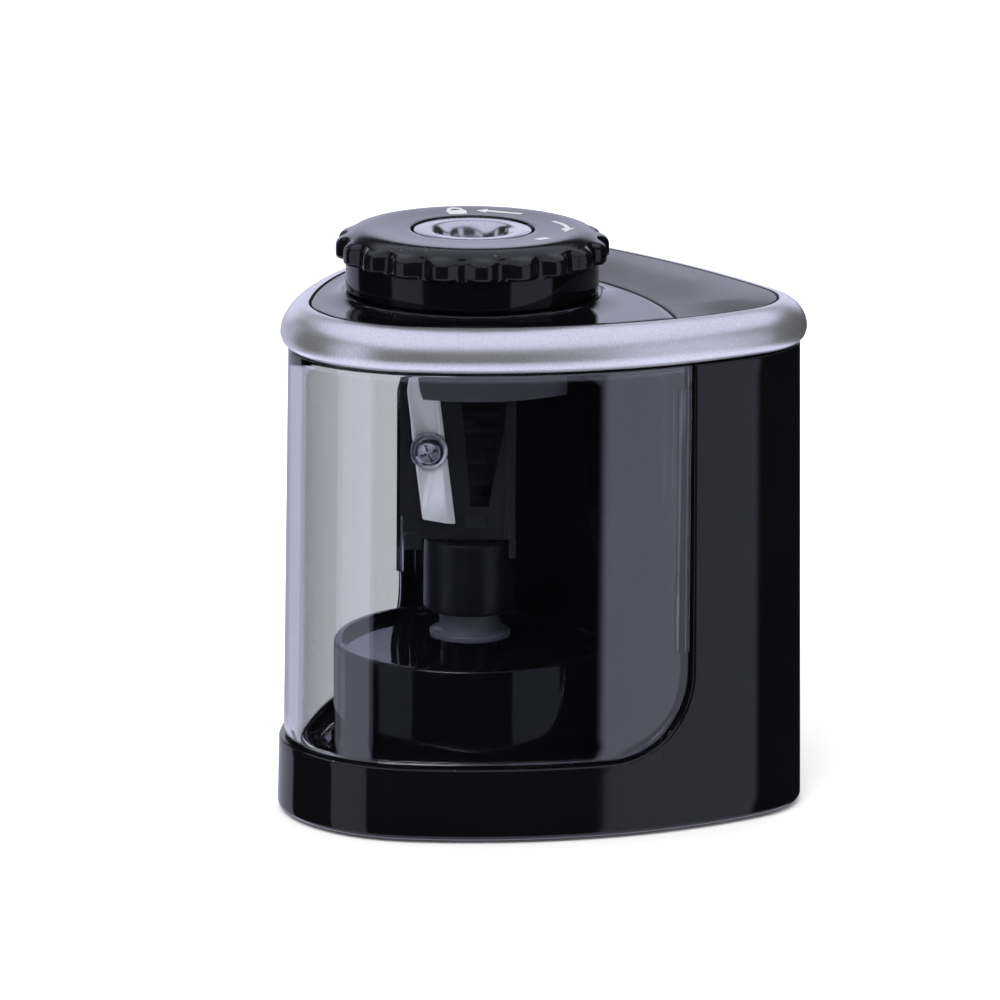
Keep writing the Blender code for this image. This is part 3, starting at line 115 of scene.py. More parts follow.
def rounded(outline: list[tuple[float, float, float]], steps: int = 5) -> list[Flat]:
    """Round the corners of a closed flat outline.

    Args:
        outline: Corners as (u, v, fillet radius).
        steps: Straight pieces in each fillet.

    Returns:
        The outline's points, with each fillet as a short curve.
    """
    made: list[Flat] = []
    count = len(outline)
    for i, (u, v, radius) in enumerate(outline):
        here = Vector((u, v))
        before = Vector(outline[i - 1][:2]) - here
        after = Vector(outline[(i + 1) % count][:2]) - here
        if radius <= 0.0 or before.length < 1e-9 or after.length < 1e-9:
            made.append((u, v))
            continue
        half = before.angle(after) / 2
        reach = min(radius / max(math.tan(half), 1e-3), before.length * 0.49, after.length * 0.49)
        start = here + before.normalized() * reach
        end = here + after.normalized() * reach
        for step in range(steps + 1):
            share = step / steps
            point = start * (1 - share) ** 2 + here * 2 * share * (1 - share) + end * share**2
            made.append((point.x, point.y))
    return made


def loft(name: str, rings: list[list[Point]], closed: bool = True, caps: bool = False) -> Piece:
    """Join closed rings of equally many points into a skin.

    Args:
        name: Name of the piece.
        rings: The rings, in order.
        closed: Whether the last ring joins the first, as round a tube.
        caps: Whether the first and last rings are filled.

    Returns:
        The new object.
    """
    bm = bmesh.new()
    loops = [[bm.verts.new(point) for point in ring] for ring in rings]
    pairs = list(zip(loops, loops[1:]))
    if closed:
        pairs.append((loops[-1], loops[0]))
    for first, second in pairs:
        for i in range(len(first)):
            j = (i + 1) % len(first)
            bm.faces.new((first[i], first[j], second[j], second[i]))
    if caps:
        bm.faces.new(loops[0])
        bm.faces.new(loops[-1])
    return from_bmesh(name, bm)


def polar(centre: Flat, radius: float, angle: float) -> Flat:
    """Return the point at a distance and a bearing from a centre."""
    return centre[0] + radius * math.cos(angle), centre[1] + radius * math.sin(angle)


def turned(name: str, outline: list[Flat], centre: Flat, steps: int = 128) -> Piece:
    """Turn a closed (radius, height) outline about an upright axis.

    Args:
        name: Name of the piece.
        outline: The section; points on the axis close to a single point.
        centre: The axis, as (x, y).
        steps: Sides all round.

    Returns:
        The new object.
    """
    rings = []
    for radius, height in outline:
        rings.append([(*polar(centre, radius, 2 * math.pi * step / steps), height) for step in range(steps)])
    made = loft(name, rings)
    bm = bmesh.new()
    bm.from_mesh(made.data)
    bmesh.ops.dissolve_degenerate(bm, edges=bm.edges, dist=1e-7)
    bm.to_mesh(made.data)
    bm.free()
    return made


def slab(name: str, outlines: list[list[Flat]], low: float, high: float) -> Piece:
    """Make a flat plate; an outline inside another is a hole.

    Args:
        name: Name of the piece.
        outlines: Outer outline and holes.
        low: Height of its underside.
        high: Height of its top.

    Returns:
        The new object.
    """
    curve = bpy.data.curves.new(name, "CURVE")
    curve.dimensions = "2D"
    curve.fill_mode = "BOTH"
    curve.extrude = (high - low) / 2
    for outline in outlines:
        spline = curve.splines.new("POLY")
        spline.points.add(len(outline) - 1)
        for point, (x, y) in zip(spline.points, outline):
            point.co = (x, y, 0.0, 1.0)
        spline.use_cyclic_u = True
    guide = bpy.data.objects.new(name + "_outline", curve)
    bpy.context.scene.collection.objects.link(guide)
    mesh = solid_mesh(guide)
    bpy.data.objects.remove(guide)
    bm = bmesh.new()
    bm.from_mesh(mesh)
    bmesh.ops.translate(bm, vec=(0.0, 0.0, (low + high) / 2), verts=bm.verts)
    bpy.data.meshes.remove(mesh)
    return from_bmesh(name, bm, 1e-6)


def box_between(name: str, low: Point, high: Point, edge: float) -> Piece:
    """Make a block between two corners, with square or rounded edges.

    Args:
        name: Name of the piece.
        low: Lowest corner.
        high: Highest corner.
        edge: Radius of its edges, or 0.

    Returns:
        The new object.
    """
    bm = bmesh.new()
    bmesh.ops.create_cube(bm, size=1.0)
    bmesh.ops.scale(bm, vec=[b - a for a, b in zip(low, high)], verts=bm.verts)
    bmesh.ops.translate(bm, vec=[(a + b) / 2 for a, b in zip(low, high)], verts=bm.verts)
    if edge > 0.0:
        bmesh.ops.bevel(bm, geom=bm.edges[:], offset=edge, segments=3, profile=0.5, affect="EDGES")
    return from_bmesh(name, bm)


def tapered(
    name: str, bm: bmesh.types.BMesh, first: list[bmesh.types.BMVert], second: list[bmesh.types.BMVert]
) -> Piece:
    """Close a solid between two outlines of equally many corners.

    Args:
        name: Name of the solid.
        bm: The bmesh that holds the corners, which is freed.
        first: Corners of one end.
        second: Corners of the other end.

    Returns:
        The new object.
    """
    bm.faces.new(first)
    bm.faces.new(second)
    for i in range(len(first)):
        j = (i + 1) % len(first)
        bm.faces.new((first[i], first[j], second[j], second[i]))
    return from_bmesh(name, bm)


def boolean(thing: Piece, other: Piece, operation: str) -> None:
    """Apply a Boolean with another solid, which is then removed.

    Args:
        thing: The piece that is changed.
        other: The other solid.
        operation: UNION, DIFFERENCE or INTERSECT.
    """
    modifier = thing.modifiers.new("Shape", "BOOLEAN")
    modifier.operation = operation
    modifier.solver = "EXACT"
    modifier.object = other
    shaped = solid_mesh(thing)
    thing.modifiers.clear()
    thing.data = shaped
    bpy.data.objects.remove(other)


def soften(thing: Piece, width: float, segments: int = 3) -> None:
    """Round a piece's sharp edges by a Bevel that is applied.

    Args:
        thing: The piece.
        width: Width of the rounding.
        segments: Facets across it.
    """
    modifier = thing.modifiers.new("Edge", "BEVEL")
    modifier.width = width
    modifier.segments = segments
    modifier.limit_method = "ANGLE"
    modifier.angle_limit = math.radians(40.0)
    modifier.use_clamp_overlap = True
    modifier.miter_outer = "MITER_ARC"
    shaped = solid_mesh(thing)
    thing.modifiers.clear()
    thing.data = shaped
    smooth(shaped)


def joined(first: Piece, *others: Piece) -> Piece:
    """Put separate solids into one object.

    Args:
        first: The object that stays.
        others: Those that go into it.

    Returns:
        The first object.
    """
    bm = bmesh.new()
    bm.from_mesh(first.data)
    for other in others:
        bm.from_mesh(other.data)
        bpy.data.objects.remove(other)
    bm.to_mesh(first.data)
    bm.free()
    smooth(first.data)
    return first


def spun(thing: Piece, centre: Flat, angle: float) -> Piece:
    """Turn a piece's mesh about an upright axis, and move it there from the origin.

    Args:
        thing: The piece, built about the origin.
        centre: The axis, as (x, y).
        angle: Turn in radians.

    Returns:
        The same object.
    """
    thing.data.transform(Matrix.Translation((*centre, 0.0)) @ Matrix.Rotation(angle, 4, "Z"))
    return thing


@dataclass
class ThickSheet:
    """A wall of even thickness with rounded rims, built from a grid of cells.

    place(key, extend, depth) gives the point of a grid corner: extend moves a rim corner out to the
    true edge, from 0 to edge, and depth runs from 0 at the outer face to 1 at the inner face.
    """

    name: str
    cells: list[tuple[Key, Key, Key, Key]]
    place: Callable[[Key, float, float], Point]
    edge: float
    thickness: float
    rim_steps: int = 4

    def rim_chain(self) -> list[Flat]:
        """Work out the section of the rim.

        Returns:
            The (extend, depth) of each point across it, from the outer to the inner face.
        """
        chain = []
        for step in range(1, self.rim_steps + 1):
            angle = (math.pi / 2) * step / self.rim_steps
            chain.append((self.edge * math.sin(angle), self.edge * (1 - math.cos(angle)) / self.thickness))
        return chain + [(extend, 1.0 - depth) for extend, depth in reversed(chain)]

    def build(self) -> Piece:
        """Join both faces and the rims into one closed wall.

        Returns:
            The new object.
        """
        bm = bmesh.new()
        keys = sorted({key for cell in self.cells for key in cell})
        outer = {key: bm.verts.new(self.place(key, 0.0, 0.0)) for key in keys}
        inner = {key: bm.verts.new(self.place(key, 0.0, 1.0)) for key in keys}
        used: dict[tuple[Key, Key], tuple[Key, Key]] = {}
        for cell in self.cells:
            bm.faces.new([outer[key] for key in cell])
            bm.faces.new([inner[key] for key in reversed(cell)])
            for first, second in zip(cell, cell[1:] + cell[:1]):
                if used.pop((second, first), None) is None:
                    used[(first, second)] = (first, second)
        chain = self.rim_chain()
        rim_keys = sorted({key for pair in used for key in pair})
        rims = {key: [bm.verts.new(self.place(key, *step)) for step in chain] for key in rim_keys}
        across = {key: [outer[key], *rims[key], inner[key]] for key in rim_keys}
        for first, second in used:
            for k in range(len(chain) + 1):
                corners = (across[first][k], across[first][k + 1], across[second][k + 1], across[second][k])
                bm.faces.new(corners)
        return from_bmesh(self.name, bm)


# The housing's plan


@dataclass(frozen=True)
class Station:
    """A place on the housing's outline: the arc that it lies on, and the bearing from that arc's centre."""

    centre: Flat
    radius: float
    bearing: float
    hand: int = 1

    def at(self, offset: float) -> Flat:
        """Find the station's point on an outline that is moved out.

        Args:
            offset: How far out the outline is moved.

        Returns:
            The point, as (x, y).
        """
        reach = self.radius + offset
        x = self.centre[0] + reach * math.cos(self.bearing)
        return self.hand * x, self.centre[1] + reach * math.sin(self.bearing)


@dataclass
class HousingPlan:
    """The rounded triangle that the housing follows.

    Front, side, corner and rear arcs are each tangent to the next.
    """

    half_width: float
    front_y: float
    rear_y: float
    front_radius: float = 17.74 * MM
    side_radius: float = 59.21 * MM
    corner_radius: float = 13.07 * MM
    rear_radius: float = 120.65 * MM
    centres: dict[str, Flat] = field(default_factory=dict)
    limits: dict[str, tuple[float, float]] = field(default_factory=dict)
    outlines: dict[float, list[Flat]] = field(default_factory=dict)

    def __post_init__(self) -> None:
        """Work out the arcs' centres and the bearings where they meet."""
        front = (0.0, self.front_y + self.front_radius)
        rear = (0.0, self.rear_y - self.rear_radius)
        side_x = self.half_width - self.side_radius
        side = (side_x, front[1] + math.sqrt((self.side_radius - self.front_radius) ** 2 - side_x**2))
        from_side = self.side_radius - self.corner_radius
        from_rear = self.rear_radius - self.corner_radius
        apart = math.dist(side, rear)
        along = (from_side**2 - from_rear**2 + apart**2) / (2 * apart)
        off = math.sqrt(from_side**2 - along**2)
        ux, uy = (rear[0] - side[0]) / apart, (rear[1] - side[1]) / apart
        corner = (side[0] + along * ux - off * uy, side[1] + along * uy + off * ux)
        self.centres = {"front": front, "side": side, "corner": corner, "rear": rear}
        front_end = self.bearing(side, front)
        side_end = self.bearing(side, corner)
        corner_end = self.bearing(rear, corner)
        self.limits = {
            "front": (-math.pi / 2, front_end),
            "side": (front_end, side_end),
            "corner": (side_end, corner_end),
            "rear": (corner_end, math.pi / 2),
        }

    @staticmethod
    def bearing(start: Flat, end: Flat) -> float:
        """Return the angle of the line from one point to another."""
        return math.atan2(end[1] - start[1], end[0] - start[0])

    def arc(
        self, name: str, steps: int, start: float | None = None, end: float | None = None
    ) -> list[Station]:
        """Give evenly spread stations along one arc of the right half, without the last one.

        Args:
            name: front, side, corner or rear.
            steps: How many.
            start: Bearing to start from, if not the arc's own.
            end: Bearing to stop at, if not the arc's own.

        Returns:
            The stations, in anticlockwise order.
        """
        low, high = self.limits[name]
        low = low if start is None else start
        high = high if end is None else end
        radius = getattr(self, f"{name}_radius")
        return [Station(self.centres[name], radius, low + (high - low) * i / steps) for i in range(steps)]

    def side_bearing(self, y: float) -> float:
        """Return the bearing on the side arc at a place along the housing."""
        return math.asin((y - self.centres["side"][1]) / self.side_radius)

    def side_at(self, y: float, hand: int = 1) -> Station:
        """Return a side's station at a place along the housing."""
        return Station(self.centres["side"], self.side_radius, self.side_bearing(y), hand)

    def mirrored(self, right: list[Station]) -> list[Station]:
        """Add the left half to stations that run from the middle of the front to the middle of the rear."""
        left = [Station(s.centre, s.radius, s.bearing, -1) for s in reversed(right[1:-1])]
        return right + left

    def stations(self, density: int = 1) -> list[Station]:
        """Give stations all round, anticlockwise from the middle of the front.

        Args:
            density: How many times the usual number of them.

        Returns:
            The stations.
        """
        right = self.arc("front", 26 * density) + self.arc("side", 30 * density)
        right += self.arc("corner", 26 * density) + self.arc("rear", 14 * density)
        right.append(Station(self.centres["rear"], self.rear_radius, math.pi / 2))
        return self.mirrored(right)

    def outline(self, offset: float, density: int = 1) -> list[Flat]:
        """Return the outline moved out by offset."""
        return [station.at(offset) for station in self.stations(density)]

    def distance_along(self, origin: Flat, bearing: float, offset: float) -> float:
        """Say how far the outline's far side is from a point.

        Args:
            origin: The point.
            bearing: Direction to look in.
            offset: How far out the outline is moved.

        Returns:
            The distance to the far side, or 0 where the outline is missed.
        """
        outline = self.outlines.setdefault(offset, self.outline(offset))
        dx, dy = math.cos(bearing), math.sin(bearing)
        best = 0.0
        for (ax, ay), (bx, by) in zip(outline, outline[1:] + outline[:1]):
            ex, ey = bx - ax, by - ay
            cross = dx * ey - dy * ex
            if abs(cross) < 1e-15:
                continue
            reach = ((ax - origin[0]) * ey - (ay - origin[1]) * ex) / cross
            share = ((ax - origin[0]) * dy - (ay - origin[1]) * dx) / cross
            if -1e-9 <= share <= 1 + 1e-9:
                best = max(best, reach)
        return best


# Effects that several finishes share


class Effect(Enum):
    """The shared shader node groups."""

    TONE = "mould_tone"
    SMUDGE = "smudged_gloss"
    GRAIN = "fine_grain"
    DUST = "settled_dust"
    WEAR = "edge_wear"
    LINES = "tool_lines"


class EffectLibrary:
    """Builds each shared effect once, and hands it to the finishes."""

    def __init__(self) -> None:
        """Start with no groups."""
        self.groups: dict[Effect, Tree] = {}

    def get(self, effect: Effect) -> Tree:
        """Give the effect's node group, building it the first time.

        Args:
            effect: Which one.

        Returns:
            The node group.
        """
        if effect not in self.groups:
            self.groups[effect] = getattr(self, effect.value)()
        return self.groups[effect]

    @staticmethod
    def start(effect: Effect, inputs: dict[str, float | Colour], outputs: dict[str, str]) -> Tree:
        """Make an empty group with named sockets.

        Args:
            effect: The effect that it is named for.
            inputs: Input names with their default values; a triple makes a colour socket.
            outputs: Output names with their socket types.

        Returns:
            The group, with its input and output nodes in place.
        """
        group = bpy.data.node_groups.new(effect.value, "ShaderNodeTree")
        for label, value in inputs.items():
            kind = "NodeSocketColor" if isinstance(value, tuple) else "NodeSocketFloat"
            socket = group.interface.new_socket(name=label, in_out="INPUT", socket_type=kind)
            socket.default_value = (*value, 1.0) if isinstance(value, tuple) else value
        for label, kind in outputs.items():
            group.interface.new_socket(name=label, in_out="OUTPUT", socket_type=kind)
        group.nodes.new("NodeGroupInput").name = "in"
        group.nodes.new("NodeGroupOutput").name = "out"
        return group

    @staticmethod
    def noise(
        group: Tree, scale: object, detail: float, stretch: Point | None = None
    ) -> object:
        """Add a noise texture over the object's own coordinates.

        Args:
            group: The group.
            scale: Socket that sets its scale, or a number.
            detail: Octaves.
            stretch: Optional scale along each axis.

        Returns:
            The noise's value socket.
        """
        place = group.nodes.new("ShaderNodeTexCoord").outputs["Object"]
        if stretch is not None:
            mapping = group.nodes.new("ShaderNodeMapping")
            mapping.inputs["Scale"].default_value = stretch
            group.links.new(place, mapping.inputs["Vector"])
            place = mapping.outputs["Vector"]
        texture = group.nodes.new("ShaderNodeTexNoise")
        texture.inputs["Detail"].default_value = detail
        group.links.new(place, texture.inputs["Vector"])
        if isinstance(scale, (int, float)):
            texture.inputs["Scale"].default_value = scale
        else:
            group.links.new(scale, texture.inputs["Scale"])
        return texture.outputs["Fac"]

    @staticmethod
    def maths(group: Tree, operation: str, *values: object, clamp: bool = False) -> object:
        """Add a Math node.

        Args:
            group: The node tree.
            operation: Blender's name of the operation.
            values: Sockets or numbers, in order.
            clamp: Whether the result stays from 0 to 1.

        Returns:
            Its output socket.
        """
        node = group.nodes.new("ShaderNodeMath")
        node.operation = operation
        node.use_clamp = clamp
        for socket, value in zip(node.inputs, values):
            if isinstance(value, (int, float)):
                socket.default_value = value
            else:
                group.links.new(value, socket)
        return node.outputs[0]

    @staticmethod
    def ramp(group: Tree, value: object, low: float, high: float) -> object:
        """Stretch the span from low to high over 0 to 1, with soft ends.

        Args:
            group: The node tree.
            value: The socket to read.
            low: Value that becomes 0.
            high: Value that becomes 1.

        Returns:
            The output socket.
        """
        node = group.nodes.new("ShaderNodeMapRange")
        node.interpolation_type = "SMOOTHSTEP"
        node.inputs["From Min"].default_value = low
        node.inputs["From Max"].default_value = high
        group.links.new(value, node.inputs["Value"])
        return node.outputs["Result"]

    def mould_tone(self) -> Tree:
        """Uneven colour of a moulding: slow drifts of shade about its base colour.

        Returns:
            The node group.
        """
        inputs = {"Base": (0.5, 0.5, 0.5), "Spread": 0.1, "Scale": 60.0}
        group = self.start(Effect.TONE, inputs, {"Color": "NodeSocketColor"})
        given = group.nodes["in"].outputs
        drift = self.noise(group, given["Scale"], 3.0)
        centred = self.maths(group, "MULTIPLY_ADD", drift, 2.0, -1.0)
        gain = self.maths(group, "MULTIPLY_ADD", centred, given["Spread"], 1.0)
        shade = group.nodes.new("ShaderNodeVectorMath")
        shade.operation = "SCALE"
        group.links.new(given["Base"], shade.inputs[0])
        group.links.new(gain, shade.inputs["Scale"])
        group.links.new(shade.outputs[0], group.nodes["out"].inputs["Color"])
        return group

    def smudged_gloss(self) -> Tree:
        """Roughness of a handled polish: a base value, soft smears and a few finer rubs.

        Returns:
            The node group.
        """
        inputs = {"Roughness": 0.1, "Spread": 0.05, "Scale": 45.0}
        group = self.start(Effect.SMUDGE, inputs, {"Roughness": "NodeSocketFloat"})
        given = group.nodes["in"].outputs
        smear = self.ramp(group, self.noise(group, given["Scale"], 2.0), 0.42, 0.72)
        rub = self.ramp(group, self.noise(group, 900.0, 3.0, (1.0, 1.0, 0.12)), 0.56, 0.72)
        both = self.maths(group, "MULTIPLY_ADD", rub, 0.35, smear)
        rough = self.maths(group, "MULTIPLY_ADD", both, given["Spread"], given["Roughness"], clamp=True)
        group.links.new(rough, group.nodes["out"].inputs["Roughness"])
        return group

    def fine_grain(self) -> Tree:
        """Fine even grain: a height for the surface and a mask of its high spots.

        Returns:
            The node group.
        """
        outputs = {"Height": "NodeSocketFloat", "Mask": "NodeSocketFloat"}
        group = self.start(Effect.GRAIN, {"Scale": 3000.0}, outputs)
        grain = self.noise(group, group.nodes["in"].outputs["Scale"], 2.0)
        group.links.new(grain, group.nodes["out"].inputs["Height"])
        group.links.new(self.ramp(group, grain, 0.48, 0.66), group.nodes["out"].inputs["Mask"])
        return group

    def settled_dust(self) -> Tree:
        """Specks that lie on faces that look up.

        Returns:
            The node group.
        """
        group = self.start(Effect.DUST, {"Amount": 0.2, "Scale": 2200.0}, {"Mask": "NodeSocketFloat"})
        given = group.nodes["in"].outputs
        normal = group.nodes.new("ShaderNodeSeparateXYZ")
        group.links.new(group.nodes.new("ShaderNodeNewGeometry").outputs["Normal"], normal.inputs[0])
        upward = self.ramp(group, normal.outputs["Z"], 0.35, 0.95)
        specks = self.ramp(group, self.noise(group, given["Scale"], 1.0), 0.68, 0.76)
        patches = self.ramp(group, self.noise(group, 120.0, 2.0), 0.40, 0.65)
        mask = self.maths(group, "MULTIPLY", self.maths(group, "MULTIPLY", specks, patches), upward)
        scaled = self.maths(group, "MULTIPLY", mask, given["Amount"], clamp=True)
        group.links.new(scaled, group.nodes["out"].inputs["Mask"])
        return group

    def edge_wear(self) -> Tree:
        """Where corners are rubbed: a mask of the outward edges, broken up by noise.

        Returns:
            The node group.
        """
        group = self.start(Effect.WEAR, {"Amount": 0.5, "Scale": 400.0}, {"Mask": "NodeSocketFloat"})
        given = group.nodes["in"].outputs
        pointed = group.nodes.new("ShaderNodeNewGeometry").outputs["Pointiness"]
        edges = self.ramp(group, pointed, 0.52, 0.60)
        patches = self.ramp(group, self.noise(group, given["Scale"], 3.0), 0.38, 0.62)
        mask = self.maths(group, "MULTIPLY", edges, patches)
        scaled = self.maths(group, "MULTIPLY", mask, given["Amount"], clamp=True)
        group.links.new(scaled, group.nodes["out"].inputs["Mask"])
        return group

    def tool_lines(self) -> Tree:
        """Lines left by grinding or turning, drawn out along one axis of the piece.

        Returns:
            The node group.
        """
        group = self.start(Effect.LINES, {"Scale": 500.0}, {"Height": "NodeSocketFloat"})
        lines = self.noise(group, group.nodes["in"].outputs["Scale"], 3.0, (1.0, 1.0, 14.0))
        group.links.new(lines, group.nodes["out"].inputs["Height"])
        return group


EFFECTS = EffectLibrary()


@dataclass
class Palette:
    """A new material's node tree, with short ways to place shared effects in it."""

    material: bpy.types.Material
    tree: Tree
    shader: bpy.types.Node

    @classmethod
    def start(cls, name: str) -> "Palette":
        """Start a new material.

        Args:
            name: Name of the material.

        Returns:
            Its palette.
        """
        material = bpy.data.materials.new(name)
        material.use_nodes = True
        return cls(material, material.node_tree, material.node_tree.nodes["Principled BSDF"])

    def effect(self, effect: Effect, **values: float | Colour) -> bpy.types.Node:
        """Place a shared effect.

        Args:
            effect: Which one.
            values: Its inputs, with _ for a space in their names.

        Returns:
            The group node.
        """
        node = self.tree.nodes.new("ShaderNodeGroup")
        node.node_tree = EFFECTS.get(effect)
        for label, value in values.items():
            socket = node.inputs[label.replace("_", " ")]
            socket.default_value = (*value, 1.0) if isinstance(value, tuple) else value
        return node

    def set(self, **values: float | Colour) -> None:
        """Set plain values on the shader's own sockets.

        Args:
            values: The values by socket, with _ for a space in its name.
        """
        for label, value in values.items():
            socket = self.shader.inputs[label.replace("_", " ")]
            socket.default_value = (*value, 1.0) if isinstance(value, tuple) else value

    def wire(self, source: object, label: str) -> None:
        """Feed a shader socket from another socket."""
        self.tree.links.new(source, self.shader.inputs[label])

    def mix(self, mask: object, first: object, second: object) -> object:
        """Mix two colours by a mask.

        Args:
            mask: Socket from 0 to 1.
            first: Colour or socket where the mask is 0.
            second: Colour or socket where it is 1.

        Returns:
            The colour socket.
        """
        node = self.tree.nodes.new("ShaderNodeMix")
        node.data_type = "RGBA"
        self.tree.links.new(mask, node.inputs[0])
        for socket, value in ((node.inputs[6], first), (node.inputs[7], second)):
            if isinstance(value, tuple):
                socket.default_value = (*value, 1.0)
            else:
                self.tree.links.new(value, socket)
        return node.outputs[2]

    def bump(self, height: object, distance: float, strength: float = 1.0) -> None:
        """Raise the surface by a height socket.

        Args:
            height: The socket.
            distance: Depth of the relief in metres.
            strength: Share of it that shows.
        """
        node = self.tree.nodes.new("ShaderNodeBump")
        node.inputs["Distance"].default_value = distance
        node.inputs["Strength"].default_value = strength
        self.tree.links.new(height, node.inputs["Height"])
        self.wire(node.outputs["Normal"], "Normal")


# Finishes


DUST_COLOUR: Colour = (0.42, 0.41, 0.40)


@dataclass(frozen=True)
class Moulding:
    """Moulded plastic: its colour, polish, grain, the dust on it, and how much light soaks into it (glow)."""

    name: str
    colour: Colour
    roughness: float
    spread: float = 0.04
    ior: float = 1.46
    grain: float = 0.0
    pitch: float = 2500.0
    dust: float = 0.25
    rubbed: float = 0.0
    tone: float = 0.25
    glow: float = 0.0

    def build(self) -> bpy.types.Material:
        """Build the material.

        Returns:
            The material.
        """
        palette = Palette.start(self.name)
        tone = palette.effect(Effect.TONE, Base=self.colour, Spread=self.tone, Scale=70.0).outputs["Color"]
        dust = palette.effect(Effect.DUST, Amount=self.dust, Scale=2600.0).outputs["Mask"]
        colour = palette.mix(dust, tone, DUST_COLOUR)
        if self.rubbed > 0.0:
            wear = palette.effect(Effect.WEAR, Amount=self.rubbed, Scale=500.0).outputs["Mask"]
            colour = palette.mix(wear, colour, tuple(min(1.0, c * 2.5 + 0.02) for c in self.colour))
        palette.wire(colour, "Base Color")
        gloss = palette.effect(Effect.SMUDGE, Roughness=self.roughness, Spread=self.spread, Scale=55.0)
        palette.wire(gloss.outputs["Roughness"], "Roughness")
        if self.grain > 0.0:
            palette.bump(palette.effect(Effect.GRAIN, Scale=self.pitch).outputs["Height"], self.grain)
        palette.set(IOR=self.ior)
        if self.glow > 0.0:
            palette.set(Subsurface_Weight=self.glow, Subsurface_Scale=1.5 * MM)
        return palette.material


@dataclass(frozen=True)
class MetallicPaint:
    """Silver paint: metal flakes under a thin satin lacquer, rubbed at its edges."""

    name: str = "silver_lacquer"
    colour: Colour = (0.74, 0.74, 0.77)
    flake: Colour = (0.90, 0.90, 0.93)
    roughness: float = 0.33
    metallic: float = 0.90
    flake_scale: float = 6500.0

    def build(self) -> bpy.types.Material:
        """Build the material.

        Returns:
            The material.
        """
        palette = Palette.start(self.name)
        grain = palette.effect(Effect.GRAIN, Scale=self.flake_scale)
        tone = palette.effect(Effect.TONE, Base=self.colour, Spread=0.05, Scale=90.0).outputs["Color"]
        flaked = palette.mix(grain.outputs["Mask"], tone, self.flake)
        wear = palette.effect(Effect.WEAR, Amount=0.25, Scale=350.0).outputs["Mask"]
        worn = palette.mix(wear, flaked, (0.40, 0.40, 0.42))
        palette.wire(worn, "Base Color")
        gloss = palette.effect(Effect.SMUDGE, Roughness=self.roughness, Spread=0.06, Scale=40.0)
        palette.wire(gloss.outputs["Roughness"], "Roughness")
        palette.bump(grain.outputs["Height"], 0.010 * MM, 0.6)
        palette.set(Metallic=self.metallic, Coat_Weight=0.25, Coat_Roughness=0.25)
        return palette.material


@dataclass(frozen=True)
class Metal:
    """Bare or plated metal with tool lines, and a little tarnish."""

    name: str
    colour: Colour
    roughness: float
    metallic: float = 1.0
    line_scale: float = 500.0
    line_depth: float = 0.004 * MM
    tarnish: Colour = (0.32, 0.31, 0.30)

    def build(self) -> bpy.types.Material:
        """Build the material.

        Returns:
            The material.
        """
        palette = Palette.start(self.name)
        lines = palette.effect(Effect.LINES, Scale=self.line_scale)
        tone = palette.effect(Effect.TONE, Base=self.colour, Spread=0.06, Scale=160.0).outputs["Color"]
        spots = palette.effect(Effect.DUST, Amount=0.35, Scale=900.0).outputs["Mask"]
        palette.wire(palette.mix(spots, tone, self.tarnish), "Base Color")
        gloss = palette.effect(Effect.SMUDGE, Roughness=self.roughness, Spread=0.07, Scale=220.0)
        palette.wire(gloss.outputs["Roughness"], "Roughness")
        palette.bump(lines.outputs["Height"], self.line_depth, 0.5)
        palette.set(Metallic=self.metallic)
        return palette.material


@dataclass(frozen=True)
class SmokedClear:
    """Clear plastic with a smoke tint, polished and faintly smeared, that shows what is inside."""

    name: str = "smoked_clear_plastic"
    tint: Colour = (0.80, 0.81, 0.85)
    shadow_tint: Colour = (0.66, 0.68, 0.74)
    roughness: float = 0.004
    ior: float = 1.80
    specular: float = 1.0

    def build(self) -> bpy.types.Material:
        """Build the material.

        Returns:
            The material.
        """
        palette = Palette.start(self.name)
        tone = palette.effect(Effect.TONE, Base=self.tint, Spread=0.03, Scale=30.0).outputs["Color"]
        palette.wire(tone, "Base Color")
        gloss = palette.effect(Effect.SMUDGE, Roughness=self.roughness, Spread=0.012, Scale=35.0)
        palette.wire(gloss.outputs["Roughness"], "Roughness")
        palette.set(Transmission_Weight=1.0, IOR=self.ior, Specular_IOR_Level=self.specular)
        tree = palette.tree
        passing = tree.nodes.new("ShaderNodeBsdfTransparent")
        passing.inputs["Color"].default_value = (*self.shadow_tint, 1.0)
        shadow = tree.nodes.new("ShaderNodeLightPath").outputs["Is Shadow Ray"]
        choice = tree.nodes.new("ShaderNodeMixShader")
        tree.links.new(shadow, choice.inputs[0])
        tree.links.new(palette.shader.outputs["BSDF"], choice.inputs[1])
        tree.links.new(passing.outputs["BSDF"], choice.inputs[2])
        tree.links.new(choice.outputs[0], tree.nodes["Material Output"].inputs["Surface"])
        return palette.material


